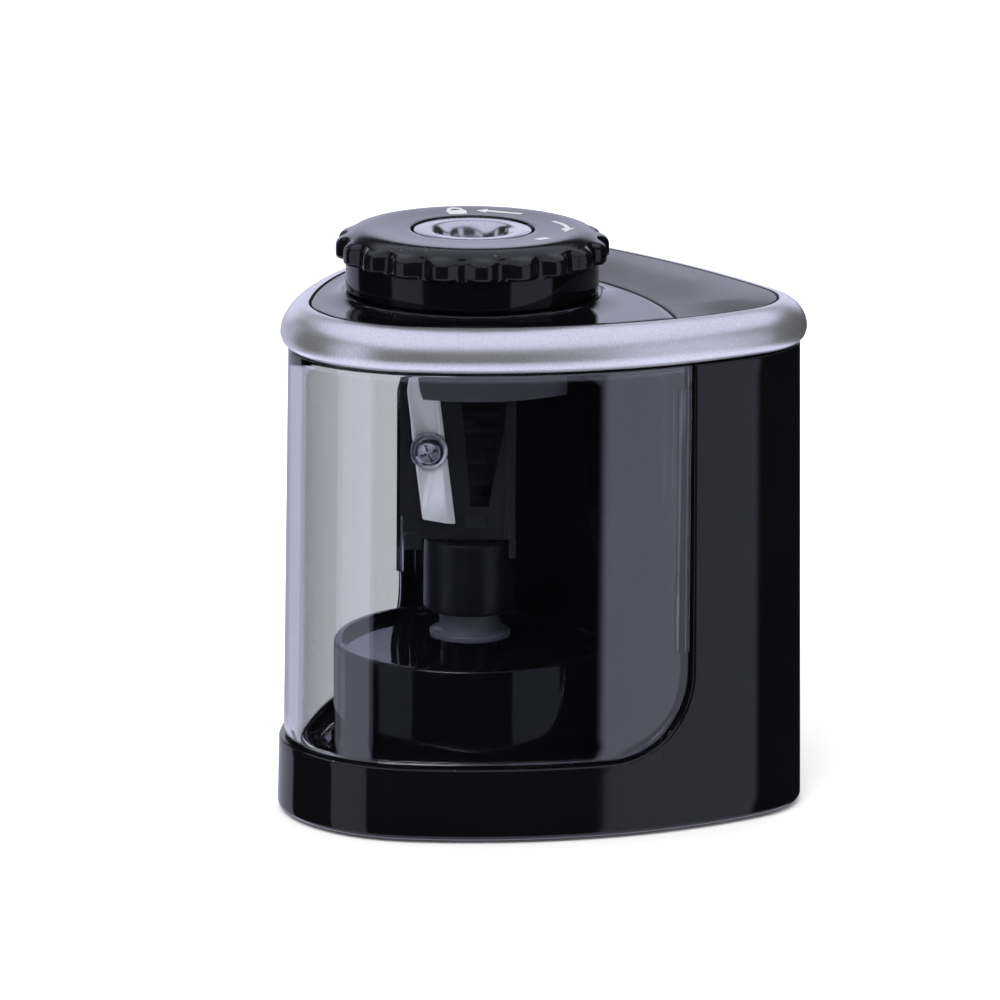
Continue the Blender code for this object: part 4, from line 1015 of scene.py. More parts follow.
@dataclass(frozen=True)
class CellSleeve:
    """Printed sleeve of a battery: two plain bands of colour, and the bare steel ends."""

    name: str
    low: float
    high: float
    nub_up: bool
    body: Colour = (0.03, 0.032, 0.036)
    band: Colour = (0.55, 0.36, 0.12)
    steel: Colour = (0.66, 0.66, 0.68)

    def build(self) -> bpy.types.Material:
        """Build the material.

        Returns:
            The material.
        """
        palette = Palette.start(self.name)
        tree, maths = palette.tree, EffectLibrary.maths
        place = tree.nodes.new("ShaderNodeSeparateXYZ")
        tree.links.new(tree.nodes.new("ShaderNodeTexCoord").outputs["Object"], place.inputs[0])
        height = place.outputs["Z"]
        length = self.high - self.low
        seam = self.low + length * (0.72 if self.nub_up else 0.28)
        side = "GREATER_THAN" if self.nub_up else "LESS_THAN"
        banded = maths(tree, side, height, seam)
        middle = (self.low + self.high) / 2
        offset = maths(tree, "SUBTRACT", height, middle)
        from_middle = maths(tree, "ABSOLUTE", offset)
        ends = maths(tree, "GREATER_THAN", from_middle, length / 2 - 0.6 * MM)
        tone = palette.effect(Effect.TONE, Base=self.body, Spread=0.15, Scale=80.0).outputs["Color"]
        printed = palette.mix(banded, tone, self.band)
        palette.wire(palette.mix(ends, printed, self.steel), "Base Color")
        metallic = maths(tree, "MULTIPLY_ADD", banded, 0.6, ends, clamp=True)
        palette.wire(metallic, "Metallic")
        gloss = palette.effect(Effect.SMUDGE, Roughness=0.22, Spread=0.08, Scale=120.0)
        palette.wire(gloss.outputs["Roughness"], "Roughness")
        return palette.material


class FinishBook:
    """Every finish of the sharpener, each built once."""

    def __init__(self) -> None:
        """Build the materials."""
        fine, medium, coarse, rough = 0.008 * MM, 0.010 * MM, 0.020 * MM, 0.040 * MM
        mouldings = [
            Moulding("gloss_black_moulding", (0.0028, 0.0028, 0.0034), 0.045, 0.03, tone=0.3, rubbed=0.15),
            Moulding("knob_black_moulding", (0.003, 0.003, 0.0036), 0.15, 0.05, 1.48, tone=0.3, rubbed=0.25),
            Moulding("matt_black_moulding", (0.022, 0.022, 0.024), 0.48, 0.10, grain=coarse, dust=0.5),
            Moulding("cover_matt_moulding", (0.06, 0.06, 0.07), 0.33, 0.06, grain=0.025 * MM, pitch=3800.0),
            Moulding("sleeve_grey_moulding", (0.12, 0.122, 0.145), 0.34, 0.08, grain=fine),
            Moulding("holder_black_moulding", (0.022, 0.022, 0.028), 0.32, 0.10, grain=medium, pitch=1500.0),
            Moulding("socket_black_moulding", (0.008, 0.008, 0.010), 0.30, 0.08, grain=fine),
            Moulding("collar_black_moulding", (0.0026, 0.0026, 0.0034), 0.07, 0.05, 1.40, tone=0.3),
            Moulding("white_nylon", (0.66, 0.67, 0.7), 0.36, 0.08, 1.5, grain=medium, tone=0.05, glow=0.15),
            Moulding("bush_nylon", (0.14, 0.145, 0.18), 0.3, 0.1, 1.5, grain=medium, tone=0.12, glow=0.1),
            Moulding("foot_rubber", (0.018, 0.018, 0.019), 0.78, 0.12, grain=rough, pitch=1800.0, dust=0.6),
            Moulding("red_lead_sleeve", (0.42, 0.015, 0.012), 0.38, 0.10, tone=0.12),
            Moulding("white_print", (0.50, 0.50, 0.54), 0.45, 0.10, tone=0.15, dust=0.0),
        ]
        metals = [
            Metal("plated_screw_steel", (0.62, 0.63, 0.66), 0.18),
            Metal("ground_shaft_steel", (0.60, 0.60, 0.62), 0.20, line_scale=800.0),
            Metal("ground_blade_steel", (0.88, 0.88, 0.87), 0.46, metallic=0.30, line_scale=420.0),
            Metal("bright_guide_metal", (0.68, 0.68, 0.69), 0.22),
            Metal("plated_contact_steel", (0.64, 0.64, 0.65), 0.26),
            Metal("zinc_motor_shell", (0.55, 0.56, 0.57), 0.34, line_scale=260.0),
            Metal("bare_brass", (0.78, 0.58, 0.26), 0.30),
        ]
        finishes = [*mouldings, MetallicPaint(), SmokedClear(), *metals]
        self.made = {finish.name: finish.build() for finish in finishes}

    def add(self, finish: CellSleeve) -> None:
        """Add a finish that depends on a piece's place."""
        self.made[finish.name] = finish.build()

    def dress(self, thing: Piece, name: str) -> None:
        """Give a piece its finish, in place of any it had."""
        thing.data.materials.clear()
        thing.data.materials.append(self.made[name])


# Sub-assemblies


@dataclass
class SubAssembly:
    """What every sub-assembly shares: the plan, the finishes and a list of its pieces."""

    plan: HousingPlan
    book: FinishBook
    pieces: list[Piece] = field(default_factory=list)

    def fit(
        self, thing: Piece, body: str, finish: str, slot: str, nodes: Iterable[str] = ()
    ) -> None:
        """Dress a new piece, and tie it to its body and the CAD nodes that it stands for.

        Args:
            thing: The piece.
            body: The CAD body that it moves with.
            finish: Name of its finish.
            slot: Not used.
            nodes: CAD nodes that it replaces.
        """
        self.book.dress(thing, finish)
        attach(thing, body)
        names = list(nodes)
        if names:
            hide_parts(*names)
        self.pieces.append(thing)

    def keep(self, finish: str, slot: str, *nodes: str) -> None:
        """Dress CAD nodes whose shape is right as it is.

        Args:
            finish: Name of the finish.
            slot: Not used.
            nodes: The nodes.
        """
        for node in nodes:
            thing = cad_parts[node]
            self.book.dress(thing, finish)
            self.pieces.append(thing)

    def report(self) -> None:
        """Log each piece of the sub-assembly."""
        for thing in self.pieces:
            LOG.info("%s: %s, %d faces", type(self).__name__, thing.name, len(thing.data.polygons))


@dataclass
class Opening:
    """The opening in the housing that the bin fills, seen from the side."""

    rear: float
    low: float
    radius: float

    def grown(self, by: float) -> "Opening":
        """Return the opening made larger all round by a distance."""
        return Opening(self.rear + by, self.low - by, self.radius + by)

    @property
    def corner(self) -> Flat:
        """The centre of the rounded lower corner, as (y, z)."""
        return self.rear - self.radius, self.low + self.radius


@dataclass
class Housing(SubAssembly):
    """The black body: outer wall with the strip, deck, bulkhead, and the plates and fasteners under it."""

    opening: Opening = field(default_factory=lambda: Opening(0.0, 0.0, 0.0))
    draft: float = 0.94 * MM
    inner_offset: float = -2.94 * MM
    foot_round: float = 0.6 * MM
    rim_edge: float = 0.35 * MM
    corner_steps: int = 14
    strip_rows: int = 10
    wall_rows: int = 20
    clearance: float = 0.3 * MM
    lap: float = 0.2 * MM
    deck: Flat = (6.8 * MM, 8.2 * MM)
    bulkhead: Flat = (7.45 * MM, 8.95 * MM)
    seat_half: float = 9.8 * MM

    def build(self) -> None:
        """Build and dress every piece."""
        low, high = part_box("main_body")
        self.bottom, self.top = low.z, high.z
        self.wall()
        self.deck_and_bulkhead()
        self.keep("matt_black_moulding", "matt_black", "base_cover")
        self.keep("plated_screw_steel", "screw_steel", "base_screw_1", "base_screw_2", "base_screw_3")
        self.keep("foot_rubber", "rubber", *[f"rubber_foot_{number}" for number in range(1, 5)])

    def columns(self) -> tuple[list[Station], list[float], int]:
        """Give the wall's columns.

        Returns:
            The right half's stations, the height that each reaches below the opening, and the index of
            the column at the opening's rear edge.
        """
        grown = self.opening.grown(self.rim_edge)
        y_centre, z_centre = grown.corner
        start = self.plan.side_bearing(y_centre)
        right = self.plan.arc("front", 28) + self.plan.arc("side", 12, end=start)
        tops = [grown.low] * len(right)
        for step in range(self.corner_steps):
            angle = (math.pi / 2) * step / self.corner_steps
            right.append(self.plan.side_at(y_centre + grown.radius * math.sin(angle)))
            tops.append(z_centre - grown.radius * math.cos(angle))
        edge_index = len(right)
        right += self.plan.arc("side", 18, start=self.plan.side_bearing(grown.rear))
        right += self.plan.arc("corner", 28) + self.plan.arc("rear", 14)
        right.append(Station(self.plan.centres["rear"], self.plan.rear_radius, math.pi / 2))
        tops += [z_centre] * (len(right) - len(tops))
        return right, tops, edge_index

    def outer_offset(self, z: float) -> float:
        """Say how far out the outer face is: a rounded foot, then the draft.

        Args:
            z: Height.

        Returns:
            The offset from the plan.
        """
        above = z - self.bottom
        if above < self.foot_round:
            share = 1 - above / self.foot_round
            return -self.foot_round * (1 - math.sqrt(max(0.0, 1 - share**2)))
        start = self.bottom + self.foot_round
        return -self.draft * (z - start) / (self.top - start)

    def wall(self) -> None:
        """Build the outer wall as one sheet with rounded rims."""
        right, right_tops, edge_index = self.columns()
        stations = self.plan.mirrored(right)
        tops = right_tops + list(reversed(right_tops[1:-1]))
        count = len(stations)
        rear = range(edge_index, count - edge_index + 1)
        foot = [self.bottom + self.foot_round * (1 - math.cos(math.pi / 2 * k / 6)) for k in range(7)]
        start = foot[-1]
        rows = len(foot) + self.strip_rows
        top_row = rows - 1 + self.wall_rows
        grown = self.opening.grown(self.rim_edge)
        y_centre, z_centre = grown.corner

        def height(i: int, j: int) -> float:
            """Find a grid corner's height.

            Args:
                i: Its column.
                j: Its row.

            Returns:
                The height.
            """
            if j < len(foot):
                return foot[j]
            if j < rows:
                return start + (tops[i] - start) * (j - len(foot) + 1) / self.strip_rows
            share = (j - rows + 1) / self.wall_rows
            return tops[i] + (self.top - self.rim_edge - tops[i]) * share

        def place(key: Key, extend: float, depth: float) -> Point:
            """Find a point of the wall.

            Args:
                key: Column and row.
                extend: How far the point goes past the grid, towards the true edge.
                depth: 0 at the outer face, 1 at the inner face.

            Returns:
                The point.
            """
            i, j = key
            station, z = stations[i], height(i, j)
            y_here = station.at(0.0)[1]
            if extend > 0.0 and j > 0:
                if j == top_row:
                    z += extend
                if j >= rows - 1 and i in (edge_index, count - edge_index):
                    station = self.plan.side_at(grown.rear - extend, station.hand)
                elif j == rows - 1 and y_here > y_centre:
                    angle = math.atan2(y_here - y_centre, z_centre - z)
                    reach = grown.radius - extend
                    station = self.plan.side_at(y_centre + reach * math.sin(angle), station.hand)
                    z = z_centre - reach * math.cos(angle)
                elif j == rows - 1:
                    z += extend
            outer = self.outer_offset(z)
            x, y = station.at(outer + (self.inner_offset - outer) * depth)
            return x, y, z

        cells = []
        for i in range(count):
            nxt = (i + 1) % count
            for j in range(rows - 1):
                cells.append(((i, j), (nxt, j), (nxt, j + 1), (i, j + 1)))
            if i in rear and nxt in rear:
                for j in range(rows - 1, top_row):
                    cells.append(((i, j), (nxt, j), (nxt, j + 1), (i, j + 1)))
        thickness = -self.inner_offset - self.draft / 2
        sheet = ThickSheet("body_wall", cells, place, self.rim_edge, thickness)
        self.fit(sheet.build(), "housing", "gloss_black_moulding", "gloss_black", ["main_body"])

    def deck_and_bulkhead(self) -> None:
        """Build the deck under the shavings and the wall between them and the batteries."""
        deck_low, deck_high = self.deck
        front, back = self.bulkhead
        shaft_low, shaft_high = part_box("spindle_shaft")
        axis = (0.0, (shaft_low.y + shaft_high.y) / 2)
        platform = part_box("gear_housing")[1]
        hole_radius = platform.x + self.clearance
        steps = 120
        hole = [polar(axis, hole_radius, 2 * math.pi * step / steps) for step in range(steps)]
        outline = self.plan.outline(self.inner_offset + self.lap)
        deck = slab("body_deck", [outline, hole], deck_low, deck_high)
        half = self.plan.side_at(front).at(self.inner_offset)[0] + self.lap
        bulkhead = box_between("body_bulkhead", (-half, front, deck_low), (half, back, self.top), 0.0)
        sleeve_low, sleeve_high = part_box("knob_sleeve")
        room = sleeve_high.x + self.clearance
        floor = sleeve_low.z - self.clearance
        above = self.top + 30 * MM
        notch = turned("notch", [(0.0, above), (room, above), (room, floor), (0.0, floor)], axis)
        boolean(bulkhead, notch, "DIFFERENCE")
        half = self.seat_half
        seat_top = platform.z + self.clearance
        seat = box_between("seat", (-half, front - MM, 0.0), (half, back + MM, seat_top), 0.0)
        boolean(bulkhead, seat, "DIFFERENCE")
        soften(bulkhead, 0.15 * MM, 2)
        self.fit(deck, "housing", "gloss_black_moulding", "gloss_black")
        self.fit(bulkhead, "housing", "gloss_black_moulding", "gloss_black")


@dataclass
class ShavingsBin(SubAssembly):
    """The clear front that slides forward, with a rail on each side."""

    opening: Opening = field(default_factory=lambda: Opening(0.0, 0.0, 0.0))
    gap: float = 0.3 * MM
    inset: float = 0.70 * MM
    draft: float = 0.94 * MM
    wall: float = 1.70 * MM
    edge: float = 0.32 * MM
    rows: int = 26
    corner_steps: int = 16
    rail: float = 1.2 * MM
    rail_room: float = 0.15 * MM
    rail_ends: Flat = (2.0 * MM, 3.0 * MM)

    def build(self) -> None:
        """Build and dress the bin."""
        low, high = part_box("shavings_bin")
        top = high.z
        shrunk = self.opening.grown(-self.gap - self.edge)
        y_centre, z_centre = shrunk.corner
        right = self.plan.arc("front", 30) + self.plan.arc("side", 12, end=self.plan.side_bearing(y_centre))
        lows = [shrunk.low] * len(right)
        for step in range(self.corner_steps + 1):
            angle = (math.pi / 2) * step / self.corner_steps
            right.append(self.plan.side_at(y_centre + shrunk.radius * math.sin(angle)))
            lows.append(z_centre - shrunk.radius * math.cos(angle))
        left = [Station(s.centre, s.radius, s.bearing, -1) for s in reversed(right[1:])]
        stations = left + right
        lows = list(reversed(lows[1:])) + lows
        last = len(stations) - 1
        inner = -(self.draft + self.gap / 2 + self.wall)

        def outer_offset(z: float) -> float:
            """Say how far in the outer face is at a height."""
            share = (z - low.z) / (top - low.z)
            return -(self.inset + (self.draft + self.gap / 2 - self.inset) * share)

        def place(key: Key, extend: float, depth: float) -> Point:
            """Find a point of the wall.

            Args:
                key: Column and row.
                extend: How far the point goes past the grid, towards the true edge.
                depth: 0 at the outer face, 1 at the inner face.

            Returns:
                The point.
            """
            i, j = key
            station = stations[i]
            z = lows[i] + (top - self.edge - lows[i]) * j / self.rows
            if extend > 0.0:
                if j == self.rows:
                    z += extend
                y_here = station.at(0.0)[1]
                if i in (0, last):
                    station = self.plan.side_at(shrunk.rear + extend, station.hand)
                elif j == 0 and y_here > y_centre:
                    angle = math.atan2(y_here - y_centre, z_centre - z)
                    reach = shrunk.radius + extend
                    station = self.plan.side_at(y_centre + reach * math.sin(angle), station.hand)
                    z = z_centre - reach * math.cos(angle)
                elif j == 0:
                    z -= extend
            outer = outer_offset(z)
            x, y = station.at(outer + (inner - outer) * depth)
            return x, y, z

        cells = []
        for i in range(last):
            for j in range(self.rows):
                cells.append(((i, j), (i + 1, j), (i + 1, j + 1), (i, j + 1)))
        shell = ThickSheet("bin_shell", cells, place, self.edge, self.wall).build()
        self.fit(shell, "bin", "smoked_clear_plastic", "clear_smoke", ["shavings_bin"])
        self.rails(top)

    def rails(self, top: float) -> None:
        """Build the two rails that slide inside the housing's wall.

        Args:
            top: Height of the bin's top.
        """
        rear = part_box("shavings_bin")[1].y
        front = self.opening.rear - self.rail
        inner = -(self.draft + self.gap / 2 + self.wall)
        out = self.plan.side_at(self.opening.rear).at(inner)[0] - self.rail_room
        bottom = self.opening.corner[1] + self.rail_ends[0]
        high = top - self.rail_ends[1]
        for hand, side in (("left", -1), ("right", 1)):
            near, far = sorted((side * out, side * (out - self.rail)))
            rail = box_between(f"bin_rail_{hand}", (near, front, bottom), (far, rear, high), 0.2 * MM)
            self.fit(rail, "bin", "smoked_clear_plastic", "clear_smoke")


@dataclass
class TopCover(SubAssembly):
    """Silver ring, gloss panel with its flared boss, battery cover and the sleeve under the knob."""

    axis: Flat = (0.0, 0.0)
    seam_radius: float = 48.0 * MM
    seam_gap: float = 0.35 * MM
    ring_width: float = 3.54 * MM
    ring_bulge: float = 0.12 * MM
    draft: float = 0.94 * MM
    panel_offset: float = -3.84 * MM
    boss_radius: float = 17.6 * MM
    edge: float = 0.22 * MM
    sleeve_wall: float = 1.6 * MM
    lip: Flat = (math.radians(-62.0), math.radians(6.0))
    lip_drop: float = 1.9 * MM
    clearance: float = 0.3 * MM
    flare: float = 1.2 * MM
    post_places: tuple[Flat, ...] = ((-9.3 * MM, 19.0 * MM), (9.3 * MM, 19.0 * MM))
    post_radius: float = 1.6 * MM

    def build(self) -> None:
        """Build and dress every piece."""
        panel_low, panel_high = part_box("top_panel")
        self.panel_bottom = panel_low.z
        self.seam_centre = (0.0, panel_high.y + self.seam_gap / 2 - self.seam_radius)
        self.panel_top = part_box("top_ring")[1].z
        self.ring()
        self.panel()
        self.cover()
        self.sleeve()

    def ring(self) -> None:
        """Sweep the ring's section round the plan."""
        low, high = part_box("top_ring")
        height = high.z - low.z
        shoulder = low.z + 0.28 * height
        bulge = self.ring_bulge
        section: list[tuple[float, float, float]] = [(-self.draft, low.z, 0.10 * MM)]
        section.append((-bulge * 3, low.z + 0.10 * height, 0.9 * MM))
        steps = 18
        for step in range(steps + 1):
            angle = (math.pi / 2) * step / steps
            reach_in = (self.ring_width - bulge) * (1 - math.cos(angle))
            section.append((-bulge - reach_in, shoulder + (high.z - shoulder) * math.sin(angle), 0.0))
        ledge = self.ring_width + 1.6 * MM
        ledge_top = self.panel_bottom - self.clearance
        section.append((-self.ring_width, ledge_top, 0.1 * MM))
        section.append((-ledge, ledge_top, 0.1 * MM))
        section.append((-ledge, low.z + height / 3, 0.2 * MM))
        section.append((-(self.ring_width - 0.5 * MM), low.z, 0.2 * MM))
        stations = self.plan.stations()
        rings = []
        for offset, z in rounded(section, 3):
            rings.append([(*station.at(offset), z) for station in stations])
        ring = loft("silver_ring", rings)
        self.fit(ring, "housing", "silver_lacquer", "silver_paint", ["top_ring"])

    def reach(self, bearing: float) -> float:
        """Say how far the panel goes from the knob's axis: to the ring or to the seam.

        Args:
            bearing: Direction to look in.

        Returns:
            The distance.
        """
        to_ring = self.plan.distance_along(self.axis, bearing, self.panel_offset)
        dx, dy = math.cos(bearing), math.sin(bearing)
        ox, oy = self.axis[0] - self.seam_centre[0], self.axis[1] - self.seam_centre[1]
        b = ox * dx + oy * dy
        c = ox * ox + oy * oy - (self.seam_radius - self.seam_gap / 2) ** 2
        return min(to_ring, -b + math.sqrt(b * b - c))

    def panel(self) -> None:
        """Build the panel as rings about the knob, from the bore out to its edge."""
        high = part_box("top_panel")[1].z
        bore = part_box("knob_sleeve")[1].x - self.sleeve_wall
        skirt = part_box("knob_collar")[1].x + self.clearance
        steps = 288
        rim = [2 * math.pi * step / steps for step in range(steps)]
        reaches = [self.reach(bearing) for bearing in rim]
        soft = self.edge
        rings: list[list[Point]] = []

        def ring_at(radius_of: Callable[[float], float], z: float) -> None:
            """Add a ring of points.

            Args:
                radius_of: Gives its radius in a direction from the panel's reach there.
                z: Its height.
            """
            spots = [polar(self.axis, radius_of(reach), turn) for turn, reach in zip(rim, reaches)]
            rings.append([(*spot, z) for spot in spots])

        ring_at(lambda reach: bore, self.panel_bottom)
        ring_at(lambda reach: bore, high - 0.15 * MM)
        ring_at(lambda reach: bore + 0.15 * MM, high)
        flare = self.boss_radius + self.flare
        for step in range(11):
            angle = (math.pi / 2) * step / 10
            share = 1 - math.cos(angle)
            drop = (high - self.panel_top) * math.sin(angle)
            ring_at(lambda reach, s=share: skirt + (min(flare, reach - 2 * soft) - skirt) * s, high - drop)
        for step in range(1, 7):
            share = step / 6
            level = self.panel_top
            ring_at(lambda reach, s=share: min(flare, reach - 2 * soft) * (1 - s) + (reach - soft) * s, level)
        for step in range(1, 5):
            angle = (math.pi / 2) * step / 4
            level = self.panel_top - soft * (1 - math.cos(angle))
            ring_at(lambda reach, a=angle: reach - soft + soft * math.sin(a), level)
        ring_at(lambda reach: reach, self.panel_bottom)
        panel = loft("gloss_top_panel", rings)
        self.fit(panel, "housing", "gloss_black_moulding", "gloss_black", ["top_panel"])

    def cover(self) -> None:
        """Build the battery cover as columns that run from the seam back to the ring."""
        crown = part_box("battery_cover")[1].z - self.panel_top
        start = self.seam_radius + self.seam_gap / 2
        origin = self.seam_centre

        def length(bearing: float) -> float:
            """Say how far it is from the seam to the ring in one direction."""
            return self.plan.distance_along(origin, bearing, self.panel_offset) - start

        narrow, wide = 0.2, math.pi / 2
        for _ in range(40):
            middle = (narrow + wide) / 2
            if length(middle) > 0.5 * MM:
                wide = middle
            else:
                narrow = middle
        count, rows = 90, 22
        bearings = [wide + (math.pi - 2 * wide) * i / count for i in range(count + 1)]
        soft = self.edge
        columns: list[list[Point]] = []
        for bearing in bearings:
            span = length(bearing)
            dx, dy = math.cos(bearing), math.sin(bearing)
            inward = min(1.0, math.sin(math.pi * (bearing - wide) / (math.pi - 2 * wide)) * 3.0)
            column: list[Point] = []

            def add(along: float, z: float) -> None:
                """Add a point at a distance from the seam and a height."""
                column.append((origin[0] + (start + along) * dx, origin[1] + (start + along) * dy, z))

            add(0.0, self.panel_bottom)
            for step in range(5):
                angle = (math.pi / 2) * step / 4
                add(soft * (1 - math.cos(angle)), self.panel_top - soft * (1 - math.sin(angle)))
            for row in range(1, rows):
                along = soft + (span - 2 * soft) * row / rows
                from_seam = min(1.0, along / (9.0 * MM))
                from_ring = min(1.0, (span - along) / (8.0 * MM))
                rise = math.sin(from_seam * math.pi / 2) ** 2 * (1 - (1 - from_ring) ** 2)
                add(along, self.panel_top + crown * rise * inward)
            for step in range(5):
                angle = (math.pi / 2) * (1 - step / 4)
                add(span - soft * (1 - math.cos(angle)), self.panel_top - soft * (1 - math.sin(angle)))
            add(span, self.panel_bottom)
            columns.append(column)
        cover = loft("battery_cover_skin", columns, closed=False, caps=True)
        radius = self.post_radius
        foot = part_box("battery_link_plate")[1].z + self.clearance
        head = self.panel_bottom + self.clearance
        outline = rounded([(0.0, head, 0.0), (radius, head, 0.0), (radius, foot, 0.2 * MM), (0.0, foot, 0.0)])
        posts = [turned("post", outline, place, 40) for place in self.post_places]
        cover = joined(cover, *posts)
        self.fit(cover, "battery_lid", "cover_matt_moulding", "matt_cover", ["battery_cover"])

    def sleeve(self) -> None:
        """Build the sleeve that shows as a dark lip through the top of the bin."""
        low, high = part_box("knob_sleeve")
        outer, bore = high.x, high.x - self.sleeve_wall
        soft = 0.25 * MM
        top, foot = high.z, low.z
        outline = rounded([(outer, top, soft), (outer, foot, soft), (bore, foot, soft), (bore, top, soft)])
        sleeve = turned("knob_sleeve_tube", outline, self.axis)
        for vertex in sleeve.data.vertices:
            bearing = math.atan2(vertex.co.y - self.axis[1], vertex.co.x - self.axis[0])
            if not self.lip[0] < bearing < self.lip[1]:
                vertex.co.z = max(vertex.co.z, low.z + self.lip_drop + (vertex.co.z - low.z) * 0.5)
        self.fit(sleeve, "housing", "sleeve_grey_moulding", "sleeve_grey", ["knob_sleeve"])


@dataclass
class Knob(SubAssembly):
    """The lobed knob, its collar, the metal pencil guide and the printed signs."""

    axis: Flat = (0.0, 0.0)
    lobes: int = 20
    notch: float = 1.0 * MM
    notch_half: float = 2.2 * MM
    hang: float = 0.75 * MM
    crown_radius: float = 15.0 * MM
    dish: float = 0.16 * MM
    dish_span: Flat = (8.0 * MM, 13.2 * MM)
    flat_radius: float = 13.0 * MM
    play: float = 0.12 * MM
    skirt_height: float = 4.3 * MM
    collar_plate: float = 1.4 * MM
    hub: float = 5.5 * MM
    guide_tube: float = 5.2 * MM
    pencil: float = 4.2 * MM
    guide_lobe: float = 0.55 * MM
    sign_radius: float = 10.6 * MM
    print_depth: float = 0.02 * MM

    def build(self) -> None:
        """Build and dress every piece."""
        self.cap()
        self.collar()
        self.guide()
        self.signs()

    def dished(self, radius: float) -> float:
        """Find the height of the cap's dished top.

        Args:
            radius: Distance from the axis.

        Returns:
            The height.
        """
        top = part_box("knob_cap")[1].z
        inner, outer = self.dish_span
        share = min(1.0, max(0.0, (radius - inner) / (outer - inner)))
        return top - self.dish * (1 - share * share * (3 - 2 * share))

    def cap(self) -> None:
        """Build the cap: a lobed grip, a soft shoulder and a dished top."""
        low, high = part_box("knob_cap")
        bottom, top = low.z, high.z
        radius = high.x
        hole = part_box("pencil_guide")[1].x
        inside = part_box("knob_collar")[1].x + self.play
        grip = bottom - self.hang
        levels: list[tuple[float, float, float]] = [
            (hole, bottom, 0.0), (inside - 0.15 * MM, bottom, 0.0), (inside, bottom - 0.15 * MM, 0.0),
            (inside, grip + 0.10 * MM, 0.0), (inside + 0.10 * MM, grip, 0.0),
            (radius - 0.55 * MM, grip, 0.85), (radius - 0.25 * MM, grip + 0.08 * MM, 1.0),
            (radius - 0.05 * MM, grip + 0.28 * MM, 1.0), (radius, grip + 0.55 * MM, 1.0),
            (radius, bottom + 0.80 * MM, 1.0), (radius - 0.06 * MM, bottom + 1.15 * MM, 1.0),
            (radius - 0.24 * MM, bottom + 1.48 * MM, 0.97),
            (radius - 0.54 * MM, bottom + 1.74 * MM, 0.85),
            (radius - 0.90 * MM, bottom + 1.90 * MM, 0.55),
            (radius - 1.22 * MM, bottom + 2.00 * MM, 0.22),
            (self.crown_radius + 0.12 * MM, bottom + 2.10 * MM, 0.05),
            (self.crown_radius - 0.18 * MM, bottom + 2.28 * MM, 0.0),
            (self.crown_radius - 0.58 * MM, bottom + 2.52 * MM, 0.0),
            (self.crown_radius - 1.05 * MM, top - 0.19 * MM, 0.0),
            (self.crown_radius - 1.55 * MM, top - 0.06 * MM, 0.0),
        ]
        for step in range(9):
            r = self.flat_radius + (hole + 0.35 * MM - self.flat_radius) * step / 8
            levels.append((r, self.dished(r), 0.0))
        floor = self.dished(hole)
        levels += [(hole + 0.1 * MM, floor - 0.06 * MM, 0.0), (hole, floor - 0.25 * MM, 0.0)]
        count = self.lobes * 20
        pitch = 2 * math.pi * radius / self.lobes
        rings = []
        for r, z, share in levels:
            ring = []
            for step in range(count):
                angle = 2 * math.pi * step / count
                aside = abs((angle * self.lobes / (2 * math.pi)) % 1.0 - 0.5) * pitch
                valley = 0.5 + 0.5 * math.cos(math.pi * min(1.0, aside / self.notch_half))
                reach = r - self.notch * share * valley
                if z < bottom:
                    reach = max(reach, min(r, inside + self.play))
                ring.append((*polar(self.axis, reach, angle), z))
            rings.append(ring)
        cap = loft("knob_cap_lobed", rings)
        self.fit(cap, "knob", "knob_black_moulding", "gloss_black", ["knob_cap"])

    def collar(self) -> None:
        """Build the collar: a plain skirt, and the spigot that drops into the sleeve."""
        low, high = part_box("knob_collar")
        skirt, spigot = high.x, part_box("knob_sleeve")[1].x - 1.9 * MM
        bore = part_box("holder_bearing")[1].x + 0.08 * MM
        hub = self.hub
        skirt_low = high.z - self.skirt_height
        plate_low = high.z - self.collar_plate
        outline = rounded(
            [
                (hub, high.z, 0.1 * MM), (skirt, high.z, 0.25 * MM), (skirt, skirt_low, 0.35 * MM),
                (spigot, skirt_low, 0.15 * MM), (spigot, low.z, 0.3 * MM), (bore, low.z, 0.3 * MM),
                (bore, plate_low, 0.3 * MM), (hub, plate_low, 0.1 * MM),
            ]
        )
        collar = turned("knob_collar_skirt", outline, self.axis)
        self.fit(collar, "carrier", "collar_black_moulding", "gloss_black", ["knob_collar"])

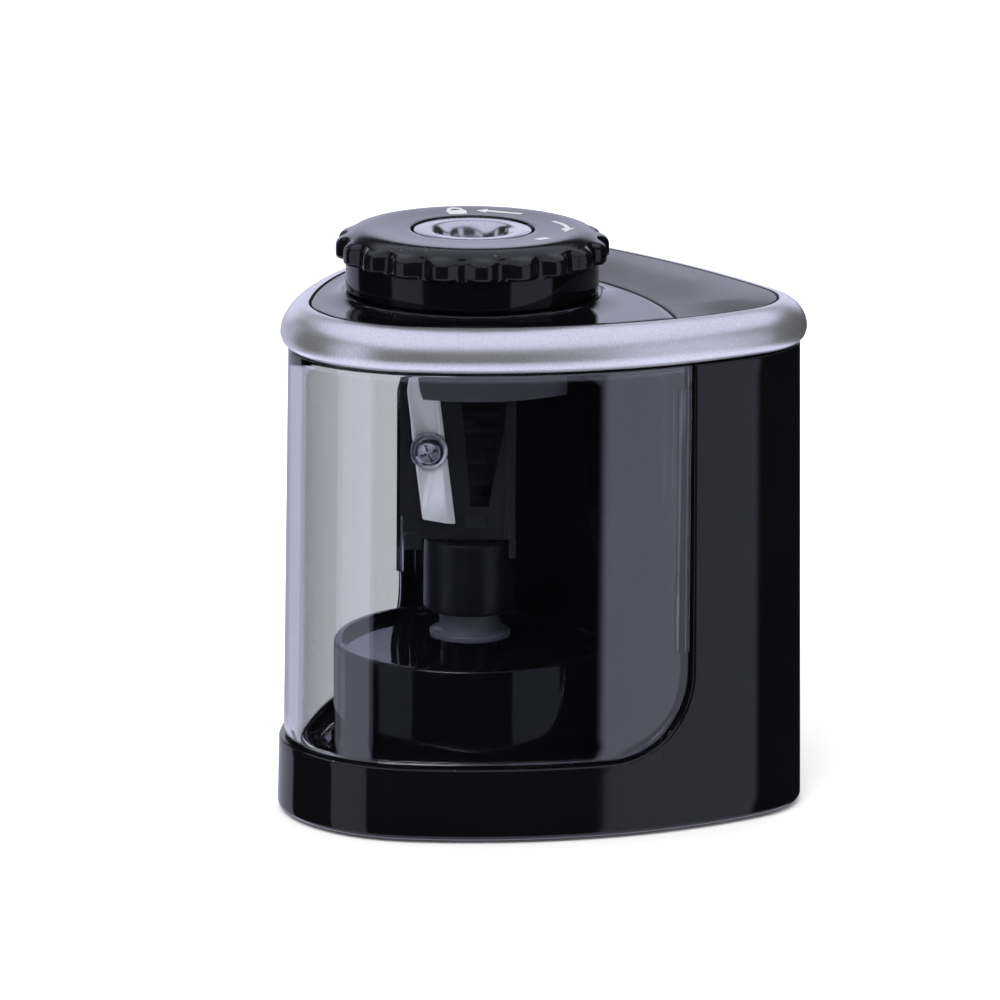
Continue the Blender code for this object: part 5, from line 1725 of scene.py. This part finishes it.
    def guide(self) -> None:
        """Build the metal funnel, with six shallow lobes that hold the pencil straight."""
        low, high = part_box("pencil_guide")
        flange, tube, pencil = high.x - 0.28 * MM, self.guide_tube, self.pencil
        top = high.z
        levels: list[tuple[float, float, float]] = [
            (flange - 0.25 * MM, top, 0.0), (flange - 0.08 * MM, top - 0.07 * MM, 0.0),
            (flange, top - 0.25 * MM, 0.0), (flange, top - 0.9 * MM, 0.0),
            (flange - 0.1 * MM, top - MM, 0.0), (tube, top - MM, 0.0), (tube, low.z + 0.15 * MM, 0.0),
            (tube - 0.15 * MM, low.z, 0.0), (pencil + 0.1 * MM, low.z, 0.0),
            (pencil, low.z + 0.15 * MM, 0.0), (pencil, top - 4.2 * MM, 0.0),
            (pencil, top - 3.4 * MM, 0.55), (pencil + 0.03 * MM, top - 2.6 * MM, 0.9),
            (pencil + 0.12 * MM, top - 1.9 * MM, 1.0), (pencil + 0.26 * MM, top - 1.3 * MM, 0.9),
            (pencil + 0.42 * MM, top - 0.8 * MM, 0.65), (pencil + 0.58 * MM, top - 0.45 * MM, 0.35),
            (pencil + 0.74 * MM, top - 0.2 * MM, 0.12), (pencil + 0.92 * MM, top - 0.05 * MM, 0.0),
            (pencil + 1.12 * MM, top, 0.0),
        ]
        count = 144
        rings = []
        for r, z, share in levels:
            ring = []
            for step in range(count):
                angle = 2 * math.pi * step / count
                lobe = (0.5 + 0.5 * math.cos(6 * angle)) ** 1.5
                reach = r - self.guide_lobe * share * lobe
                ring.append((*polar(self.axis, reach, angle), z))
            rings.append(ring)
        guide = loft("pencil_guide_funnel", rings)
        self.fit(guide, "knob", "bright_guide_metal", "guide_metal", ["pencil_guide"])

    def signs(self) -> None:
        """Print the plain signs on the cap's top: a padlock, an arrow to it and a turning arrow."""
        half, barb, neck, tail = 0.34, 0.95, -1.7, 2.9
        shaft = [(neck, half), (tail, half), (tail, -half), (neck, -half)]
        arrow = [(-3.0, 0.0), (neck, barb), *shaft, (neck, -barb)]
        lock = [(-1.5, -1.7), (1.0, -1.7), (1.0, 0.2), (-1.5, 0.2)]
        shackle = []
        for radius, order in ((1.0, 1), (0.55, -1)):
            turn = [math.pi * step / 10 for step in range(11)]
            for angle in turn[::order]:
                shackle.append((-0.25 + radius * math.cos(angle), 0.2 + 1.5 * radius * math.sin(angle)))
        sweep = []
        for step in range(13):
            sweep.append((-3.2 + 4.6 * step / 12, 0.30 + 0.9 * math.sin(math.pi * step / 30)))
        for step in reversed(range(13)):
            sweep.append((-3.2 + 4.6 * step / 12, -0.25 + 0.9 * math.sin(math.pi * step / 30)))
        head = [(1.2, 1.75), (3.4, 0.85), (1.3, 0.0)]
        bar = [(-0.8, -0.3), (0.7, -0.9), (0.8, 0.3), (-0.7, 0.9)]
        placed = [
            (arrow, math.radians(121.0)), (lock, math.radians(149.5)), (shackle, math.radians(149.5)),
            (sweep, math.radians(56.0)), (head, math.radians(56.0)), (bar, math.radians(12.0)),
        ]
        lift = self.print_depth
        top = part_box("knob_cap")[1].z
        bm = bmesh.new()
        for outline, bearing in placed:
            corners = []
            for across, out in outline:
                radius = self.sign_radius + out * MM
                angle = bearing - across * MM / self.sign_radius
                height = min(self.dished(radius) + lift, top)
                corners.append(bm.verts.new((*polar(self.axis, radius, angle), height)))
            face = bm.faces.new(corners)
            if face.normal.z < 0:
                face.normal_flip()
        bmesh.ops.recalc_face_normals(bm, faces=bm.faces)
        solid = bmesh.ops.extrude_face_region(bm, geom=bm.faces[:])
        moved = [thing for thing in solid["geom"] if isinstance(thing, bmesh.types.BMVert)]
        bmesh.ops.translate(bm, vec=(0.0, 0.0, -2 * lift), verts=moved)
        bmesh.ops.triangulate(bm, faces=bm.faces[:])
        signs = from_bmesh("knob_signs", bm)
        self.fit(signs, "knob", "white_print", "gloss_black")


@dataclass
class Cutter(SubAssembly):
    """What spins with the blade: holder, blade and its screw. Built facing -Y, then turned."""

    axis: Flat = (0.0, 0.0)
    yaw: float = math.radians(49.4)
    lean: float = math.radians(7.3)
    face: float = -3.6 * MM
    blade_across: float = -5.0 * MM
    blade_middle: float = 45.2 * MM
    screw_drop: float = 0.8 * MM
    screw_turn: float = math.radians(22.0)
    blade_size: Flat = (3.85 * MM, 18.4 * MM)
    end_slant: float = 1.1 * MM
    blade_thickness: float = 0.6 * MM
    seat: float = 0.15 * MM
    sides: Flat = (-8.6 * MM, 5.4 * MM)
    back: float = 4.6 * MM
    journal: float = 7.2 * MM
    disc_radius: float = 9.4 * MM
    disc: Flat = (54.6 * MM, 56.2 * MM)
    bridge: float = 3.4 * MM
    peg: float = 2.4 * MM
    point: Flat = (0.8 * MM, 37.5 * MM)
    pencil: float = 4.2 * MM
    slot_shift: float = 1.1 * MM
    slot_depth: float = 3.2 * MM

    def build(self) -> None:
        """Build and dress every piece."""
        self.holder()
        self.blade()
        self.screw()

    def holder(self) -> None:
        """Build the holder: journal, disc, block with the conical cavity, and the square drive."""
        low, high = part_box("blade_holder")
        left, right = self.sides
        front, back = self.face, self.back
        disc_low, disc_top = self.disc
        block_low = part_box("drive_socket")[1].z + 0.3 * MM
        journal, wide = self.journal, self.disc_radius
        section = [(0.0, high.z), (journal, high.z), (journal, disc_top), (wide, disc_top), (wide, disc_low)]
        holder = turned("blade_holder_block", [*section, (0.0, disc_low)], (0.0, 0.0), 96)
        peg = self.peg
        solids = [
            ((left, front, block_low + 3.0 * MM), (right, back, disc_low + 0.8 * MM)),
            ((left + 0.4 * MM, front + 0.5 * MM, block_low), (right, back, block_low + self.bridge)),
            ((-peg, -peg, low.z), (peg, peg, block_low + 2.0 * MM)),
        ]
        for corner, far in solids:
            boolean(holder, box_between("solid", corner, far, 0.0), "UNION")
        tip, tip_low = self.point
        above = high.z + MM
        section = [(tip, tip_low), (self.pencil, disc_low), (self.pencil, above), (0.0, above)]
        cone = turned("cone", [(0.0, tip_low), *section], (0.0, 0.0), 64)
        boolean(holder, cone, "DIFFERENCE")
        boolean(holder, self.slot(block_low + 4.2 * MM, disc_low - 0.4 * MM), "DIFFERENCE")
        soften(holder, 0.18 * MM, 3)
        rail_top = block_low + 2.4 * MM
        blocks = [
            ((-0.65 * MM, front + 0.1 * MM, 34.5 * MM), (2.05 * MM, front + 2.6 * MM, 36.9 * MM)),
            ((-0.95 * MM, front + 0.1 * MM, 36.7 * MM), (-0.5 * MM, front + 1.4 * MM, 40.6 * MM)),
            (
                (right - 1.25 * MM, front - 0.45 * MM, block_low + 0.2 * MM),
                (right, front + 0.7 * MM, disc_low - 0.5 * MM),
            ),
            (
                (right - 0.75 * MM, front - 0.75 * MM, 31.0 * MM),
                (right + 0.1 * MM, front + 0.15 * MM, rail_top),
            ),
            (
                (left + 0.5 * MM, front - 0.2 * MM, 31.9 * MM),
                (left + 2.8 * MM, front + 1.4 * MM, block_low + 0.9 * MM),
            ),
        ]
        extras = []
        for number, (corner, far) in enumerate(blocks):
            extras.append(box_between(f"holder_block_{number}", corner, far, 0.14 * MM))
        holder = joined(holder, *extras)
        spun(holder, self.axis, self.yaw)
        self.fit(holder, "cutter", "holder_black_moulding", "holder_black", ["blade_holder"])

    def slot(self, low: float, high: float) -> Piece:
        """Build the tapered solid that is cut away where the shavings come out.

        Args:
            low: Height of its bottom.
            high: Height of its top.

        Returns:
            The solid.
        """
        shift = self.slot_shift
        bottom = [(shift - 1.1 * MM, low), (shift + 1.1 * MM, low)]
        mouth = [*bottom, (shift + 3.0 * MM, high), (shift - 2.7 * MM, high)]
        bm = bmesh.new()
        near = [bm.verts.new((x, self.face - MM, z)) for x, z in mouth]
        far = [bm.verts.new((x * 0.9 + shift * 0.1, self.face + self.slot_depth, z)) for x, z in mouth]
        return tapered("slot", bm, near, far)

    def blade(self) -> None:
        """Build the blade: a flat strip with a ground edge and a hole for its screw."""
        half, tall = self.blade_size[0] / 2, self.blade_size[1] / 2
        thick = self.blade_thickness
        front = -thick / 2
        ground = [(half - 0.9 * MM, front, 0.0), (half, thick / 2 - 0.1 * MM, 0.0), (half, thick / 2, 0.0)]
        section = [(-half, front, 0.06 * MM), *ground, (-half, thick / 2, 0.06 * MM)]
        bm = bmesh.new()
        levels = [(-tall, 0.12 * MM), (-tall + 0.12 * MM, 0.0), (tall - 0.12 * MM, 0.0), (tall, 0.12 * MM)]
        outline = rounded(section, 3)
        loops = []
        for z, shrink in levels:
            slant = self.end_slant * (0.5 - 0.5 * z / tall)
            loop = []
            for x, y in outline:
                loop.append(bm.verts.new((x * (1 - shrink / half), y, z - slant * (x + half) / (2 * half))))
            loops.append(loop)
        for below, above in zip(loops, loops[1:]):
            for i in range(len(outline)):
                j = (i + 1) % len(outline)
                bm.faces.new((below[i], below[j], above[j], above[i]))
        bm.faces.new(loops[0])
        bm.faces.new(loops[-1])
        strip = from_bmesh("sharpener_blade", bm)
        lean = Matrix.Rotation(-self.lean, 4, "Y")
        place = Matrix.Translation((self.blade_across, self.face - self.seat - thick / 2, self.blade_middle))
        strip.data.transform(place @ lean)
        bore, deep = 1.3 * MM, 2 * MM
        hole = turned("hole", [(0.0, -deep), (bore, -deep), (bore, deep), (0.0, deep)], (0.0, 0.0), 40)
        dropped = Matrix.Translation((0.0, 0.0, -self.screw_drop))
        hole.data.transform(dropped @ place @ Matrix.Rotation(math.pi / 2, 4, "X"))
        boolean(strip, hole, "DIFFERENCE")
        spun(strip, self.axis, self.yaw)
        self.fit(strip, "cutter", "ground_blade_steel", "blade_steel", ["blade"])

    def screw(self) -> None:
        """Build the pan-head screw with its washer face and cross recess."""
        head, washer, shank = 1.72 * MM, 2.3 * MM, 1.0 * MM
        high = 1.35 * MM
        outline = rounded(
            [
                (0.0, high, 0.0), (head * 0.75, high - 0.04 * MM, 0.3 * MM),
                (head, high - 0.45 * MM, 0.3 * MM), (head, 0.30 * MM, 0.06 * MM),
                (washer, 0.38 * MM, 0.14 * MM), (washer, 0.0, 0.1 * MM), (shank, 0.0, 0.0),
                (shank, -2.6 * MM, 0.2 * MM), (0.0, -2.6 * MM, 0.0),
            ]
        )
        screw = turned("blade_screw_head", outline, (0.0, 0.0), 72)
        wide, narrow = head * 0.72, 0.2 * MM
        corners = ((-1, -1), (1, -1), (1, 1), (-1, 1))
        for x, y in ((wide, narrow), (narrow, wide)):
            bm = bmesh.new()
            top = [bm.verts.new((sx * x, sy * y, high + 0.2 * MM)) for sx, sy in corners]
            low = [bm.verts.new((sx * x * 0.35, sy * y * 0.7, high - 0.8 * MM)) for sx, sy in corners]
            boolean(screw, tapered("recess", bm, top, low), "DIFFERENCE")
        lift = self.seat + self.blade_thickness + 0.15 * MM
        screw.data.transform(Matrix.Rotation(self.screw_turn, 4, "Z"))
        screw.data.transform(Matrix.Rotation(math.pi / 2, 4, "X"))
        screw_height = self.blade_middle - self.screw_drop
        screw.data.transform(Matrix.Translation((self.blade_across, self.face - lift, screw_height)))
        smooth(screw.data, math.radians(38.0))
        spun(screw, self.axis, self.yaw)
        self.fit(screw, "cutter", "plated_screw_steel", "screw_steel", ["blade_screw"])


@dataclass
class Drive(SubAssembly):
    """Socket, bush, gear housing, gears, motor and switch."""

    axis: Flat = (0.0, 0.0)
    yaw: float = math.radians(49.4)
    well_half: float = 2.7 * MM
    well_depth: float = 4.5 * MM
    bush_neck: float = 3.65 * MM
    bush_body: float = 3.4 * MM
    bush_bore: float = 1.58 * MM
    flange_place: Flat = (4.5 * MM, 0.7 * MM)
    platform_wall: float = 1.8 * MM
    platform_rim: float = 1.2 * MM
    platform_bore: float = 3.48 * MM
    seat_half: float = 9.5 * MM
    seat_wall: float = 1.0 * MM
    boss_room: float = 3.3 * MM

    def build(self) -> None:
        """Build and dress every piece."""
        self.socket()
        self.bush()
        self.gear_cover()
        self.keep("white_nylon", "white_plastic", "output_gear", "idler_gear")
        self.keep("white_nylon", "white_plastic", "holder_bearing", "motor_end_cap")
        self.keep("ground_shaft_steel", "shaft_steel", "spindle_shaft", "idler_axle", "motor_shaft")
        self.keep("matt_black_moulding", "matt_black", "gear_plate", "switch_block")
        self.keep("bare_brass", "brass", "motor_pinion", "switch_leaf", "switch_contact")
        self.keep("bare_brass", "brass", "motor_terminal_left", "motor_terminal_right")
        self.keep("zinc_motor_shell", "motor_shell", "motor_can")
        self.keep("red_lead_sleeve", "lead_red", "motor_lead_left", "motor_lead_right")

    def socket(self) -> None:
        """Build the drum that the holder's square peg sits in."""
        low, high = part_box("drive_socket")
        radius = high.x
        shoulder = [(radius - 0.1 * MM, high.z, 0.3 * MM), (radius, high.z - 1.2 * MM, 0.0)]
        outline = rounded([(0.0, high.z, 0.0), *shoulder, (radius, low.z, 0.5 * MM), (0.0, low.z, 0.0)])
        drum = turned("drive_socket_drum", outline, (0.0, 0.0), 96)
        half = self.well_half
        well = box_between("well", (-half, -half, high.z - self.well_depth), (half, half, high.z + MM), 0.0)
        boolean(drum, well, "DIFFERENCE")
        soften(drum, 0.12 * MM, 2)
        spun(drum, self.axis, self.yaw)
        self.fit(drum, "spindle", "socket_black_moulding", "holder_black", ["drive_socket"])

    def bush(self) -> None:
        """Build the pale bush, with the moulded step and slightly ragged edge of its flange, and a black
        barrel under the flange as painted shade.
        """
        low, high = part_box("spindle_bush")
        flange = high.x
        neck, body, bore = self.bush_neck, self.bush_body, self.bush_bore
        flange_low = low.z + self.flange_place[0]
        flange_high = flange_low + self.flange_place[1]
        outline = rounded(
            [
                (neck, high.z, 0.2 * MM), (neck, flange_high, 0.3 * MM), (flange, flange_high, 0.15 * MM),
                (flange, flange_low, 0.15 * MM), (bore, flange_low, 0.0), (bore, high.z, 0.1 * MM),
            ]
        )
        # The barrel under the flange gets black moulding, not pale nylon: painted shade where the flange sits
        # on the platform.
        foot = [(body, low.z, 0.2 * MM), (bore, low.z, 0.0)]
        lower = rounded([(body, flange_low, 0.0), *foot, (bore, flange_low, 0.0)])
        shaded_barrel = turned("spindle_bush_barrel", lower, self.axis, 96)
        self.fit(shaded_barrel, "bush", "socket_black_moulding", "white_plastic")
        bush = turned("spindle_bush_neck", outline, self.axis, 96)
        for vertex in bush.data.vertices:
            dx, dy = vertex.co.x - self.axis[0], vertex.co.y - self.axis[1]
            radius = math.hypot(dx, dy)
            if radius > neck + 0.2 * MM:
                angle = math.atan2(dy, dx)
                broad = 0.5 + 0.5 * math.sin(5 * angle + 1.1)
                fine = 0.5 + 0.5 * math.sin(11 * angle)
                pull = 1 - 0.03 * broad - 0.015 * fine
                vertex.co.x = self.axis[0] + dx * pull
                vertex.co.y = self.axis[1] + dy * pull
        self.fit(bush, "bush", "bush_nylon", "white_plastic", ["spindle_bush"])

    def gear_cover(self) -> None:
        """Build the round platform with its raised rim, and the seat that the motor stands on."""
        low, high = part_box("gear_housing")
        radius = high.x
        floor = high.z - self.platform_rim
        rim = radius - self.platform_rim
        wall, bore = self.platform_wall, self.platform_bore
        outline = rounded(
            [
                (bore, floor, 0.15 * MM), (rim, floor, 0.4 * MM), (rim + 0.1 * MM, high.z, 0.3 * MM),
                (radius, high.z, 0.9 * MM), (radius, low.z, 0.2 * MM), (radius - wall, low.z, 0.2 * MM),
                (radius - wall, floor - wall, 0.4 * MM), (bore, floor - wall, 0.15 * MM),
            ]
        )
        dome = turned("gear_cover_platform", outline, self.axis, 160)
        self.fit(dome, "housing", "gloss_black_moulding", "gloss_black", ["gear_housing"])
        half, thin = self.seat_half, self.seat_wall
        start = self.axis[1] + math.sqrt(radius**2 - half**2) - 0.8 * MM
        seat = box_between("motor_seat", (-half, start, low.z), (half, high.y, high.z), 0.0)
        low_corner = (-half + thin, start - thin, low.z - thin)
        room = box_between("room", low_corner, (half - thin, high.y - thin, high.z - wall), 0.0)
        boolean(seat, room, "DIFFERENCE")
        shaft_low, shaft_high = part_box("motor_shaft")
        centre = (0.0, (shaft_low.y + shaft_high.y) / 2)
        wide, above = self.boss_room, high.z + MM
        hole = turned("hole", [(0.0, low.z), (wide, low.z), (wide, above), (0.0, above)], centre, 48)
        boolean(seat, hole, "DIFFERENCE")
        soften(seat, 0.3 * MM, 3)
        self.fit(seat, "housing", "gloss_black_moulding", "gloss_black")


@dataclass
class Power(SubAssembly):
    """Batteries, their cradle and the contacts."""

    nub: float = 1.0 * MM

    def build(self) -> None:
        """Dress every piece."""
        self.keep("matt_black_moulding", "matt_black", "battery_cradle")
        contacts = ("battery_contact_left", "battery_contact_right", "battery_contact_post")
        self.keep("plated_contact_steel", "plated_steel", *contacts)
        springs = ("battery_spring_lower", "battery_spring_upper", "battery_link_plate")
        self.keep("plated_contact_steel", "plated_steel", *springs)
        for hand, nub_up in (("left", True), ("right", False)):
            low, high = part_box(f"battery_{hand}")
            bottom = low.z + (0.0 if nub_up else self.nub)
            top = high.z - (self.nub if nub_up else 0.0)
            sleeve = CellSleeve(f"cell_sleeve_{hand}", bottom, top, nub_up)
            self.book.add(sleeve)
            self.keep(sleeve.name, "cell_wrap", f"battery_{hand}")


# Studio


@dataclass(frozen=True)
class SoftBox:
    """A soft box that gloss reflects: bearings in degrees, and heights from -1, down, to 1, up."""

    start: float
    end: float
    soft: float
    bottom: float
    top: float
    strength: float
    fade: float = 0.05


@dataclass
class Studio:
    """Pale floor, soft light and the camera."""

    target: Point = (0.00234, -0.00282, 0.03725)
    place: Point = (0.7580, -0.6507, 0.27075)
    lens: float = 302.4
    roll: float = math.radians(0.51)
    dimness: float = 0.010
    cool: Colour = (0.85, 0.86, 1.10)
    white: Colour = (1.0, 1.0, 1.0)
    boxes: tuple[SoftBox, ...] = (
        SoftBox(-118.0, -86.0, 1.2, -0.55, 0.5, 0.66),
        SoftBox(-5.0, 37.0, 1.2, -0.55, 0.5, 0.70),
        SoftBox(134.0, 200.0, 10.0, -0.6, 0.03, 0.62),
        SoftBox(-200.0, -167.0, 2.0, -0.6, 0.37, 0.62),
        SoftBox(116.0, 172.0, 8.0, 0.03, 0.37, 1.05),
        SoftBox(-200.0, 200.0, 1.0, 0.60, 1.2, 0.85),
        SoftBox(-200.0, 200.0, 1.0, -1.2, -0.50, 1.0),
    )

    def build(self) -> None:
        """Build the studio."""
        self.camera()
        self.floor()
        self.surroundings()
        self.lamp("key_light", (0.25, -0.55, 0.75), (0.55, 0.45), 5.0)
        self.lamp("rear_light", (-0.45, 0.55, 0.60), (0.50, 0.40), 3.0)

    def camera(self) -> None:
        """Place the camera and make it the scene's."""
        data = bpy.data.cameras.new("camera")
        data.lens = self.lens
        data.sensor_width = 36.0
        data.clip_start = 0.01
        data.clip_end = 10.0
        camera = bpy.data.objects.new("camera", data)
        camera.location = self.place
        aim = (Vector(self.target) - Vector(self.place)).to_track_quat("-Z", "Y").to_matrix().to_4x4()
        turn = aim @ Matrix.Rotation(self.roll, 4, "Z")
        camera.rotation_euler = turn.to_euler()
        bpy.context.scene.collection.objects.link(camera)
        bpy.context.scene.camera = camera
        bpy.context.scene.view_settings.view_transform = "Standard"

    def floor(self) -> None:
        """Lay the pale floor."""
        bm = bmesh.new()
        bmesh.ops.create_grid(bm, x_segments=1, y_segments=1, size=3.0)
        floor = from_bmesh("floor", bm)
        palette = Palette.start("pale_floor")
        palette.set(Base_Color=(0.95, 0.95, 0.95), Roughness=0.9, Specular_IOR_Level=0.0)
        floor.data.materials.append(palette.material)
        floor.visible_glossy = False
        floor.visible_transmission = False

    def light_blade(self, pieces: list[Piece]) -> None:
        """Give the blade and its screw a small soft light of their own.

        Args:
            pieces: The pieces that it lights.
        """
        group = bpy.data.collections.new("lit_pieces")
        for thing in pieces:
            group.objects.link(thing)
        places = (("blade_light", (0.20, -0.25, 0.03), 0.34), ("screw_light", (0.10, -0.26, 0.16), 0.16))
        for name, place, power in places:
            lamp = self.lamp(name, place, (0.08, 0.08), power)
            lamp.visible_glossy = True
            lamp.visible_camera = False
            lamp.light_linking.receiver_collection = group

    def lamp(self, name: str, place: Point, size: Flat, power: float) -> Piece:
        """Hang a soft box that looks at the object.

        Args:
            name: Its name.
            place: Where it hangs.
            size: Width and height.
            power: Power in watts.

        Returns:
            The lamp.
        """
        data = bpy.data.lights.new(name, "AREA")
        data.shape = "RECTANGLE"
        data.size, data.size_y = size
        data.energy = power
        lamp = bpy.data.objects.new(name, data)
        lamp.location = place
        lamp.rotation_euler = (Vector(self.target) - Vector(place)).to_track_quat("-Z", "Y").to_euler()
        lamp.visible_glossy = False
        bpy.context.scene.collection.objects.link(lamp)
        return lamp

    def surroundings(self) -> None:
        """Surround the object with white, and with soft boxes that only its gloss sees."""
        world = bpy.data.worlds.new("studio")
        world.use_nodes = True
        bpy.context.scene.world = world
        tree = world.node_tree
        maths = EffectLibrary.maths
        background = tree.nodes["Background"]
        direction = tree.nodes.new("ShaderNodeTexCoord").outputs["Generated"]
        split = tree.nodes.new("ShaderNodeSeparateXYZ")
        tree.links.new(direction, split.inputs[0])
        turn = maths(tree, "ARCTAN2", split.outputs["Y"], split.outputs["X"])
        bearing = maths(tree, "MULTIPLY", turn, 180.0 / math.pi)
        height = split.outputs["Z"]

        def panel(box: SoftBox) -> object:
            """Return the strength of a soft box in every direction."""
            left = EffectLibrary.ramp(tree, bearing, box.start - box.soft, box.start + box.soft)
            right = EffectLibrary.ramp(tree, bearing, box.end - box.soft, box.end + box.soft)
            across = maths(tree, "SUBTRACT", left, right)
            under = EffectLibrary.ramp(tree, height, box.bottom - box.fade, box.bottom + box.fade)
            over = EffectLibrary.ramp(tree, height, box.top - box.fade, box.top + box.fade)
            upright = maths(tree, "SUBTRACT", under, over)
            return maths(tree, "MULTIPLY", maths(tree, "MULTIPLY", across, upright), box.strength)

        total: object = self.dimness
        for box in self.boxes:
            total = maths(tree, "ADD", total, panel(box))
        path = tree.nodes.new("ShaderNodeLightPath")
        open_rays = maths(tree, "LESS_THAN", path.outputs["Glossy Depth"], 0.5)
        shade = tree.nodes.new("ShaderNodeMix")
        shade.data_type = "FLOAT"
        tree.links.new(open_rays, shade.inputs[0])
        tree.links.new(total, shade.inputs[2])
        shade.inputs[3].default_value = 1.0
        tree.links.new(shade.outputs[0], background.inputs["Strength"])
        tint = tree.nodes.new("ShaderNodeMix")
        tint.data_type = "RGBA"
        tree.links.new(open_rays, tint.inputs[0])
        tint.inputs[6].default_value = (*self.cool, 1.0)
        tint.inputs[7].default_value = (*self.white, 1.0)
        tree.links.new(tint.outputs[2], background.inputs["Color"])


def main() -> None:
    """Build every sub-assembly and the studio, and report each piece."""
    logging.basicConfig(level=logging.INFO, format="%(message)s")
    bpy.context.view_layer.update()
    low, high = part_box("main_body")
    plan = HousingPlan(half_width=high.x, front_y=low.y, rear_y=high.y)
    book = FinishBook()
    shaft_low, shaft_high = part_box("spindle_shaft")
    axis = ((shaft_low.x + shaft_high.x) / 2, (shaft_low.y + shaft_high.y) / 2)
    opening = Opening(rear=5.31 * MM, low=9.2 * MM, radius=10.5 * MM)
    studio = Studio()
    studio.build()
    cutter = Cutter(plan, book, axis=axis)
    assemblies: list[SubAssembly] = [
        Housing(plan, book, opening=opening),
        ShavingsBin(plan, book, opening=opening),
        TopCover(plan, book, axis=axis),
        Knob(plan, book, axis=axis),
        cutter,
        Drive(plan, book, axis=axis),
        Power(plan, book),
    ]
    for assembly in assemblies:
        assembly.build()
        assembly.report()
    lit = ("sharpener_blade", "blade_screw")
    studio.light_blade([thing for thing in cutter.pieces if thing.name.startswith(lit)])


if __name__ == "__main__":
    main()
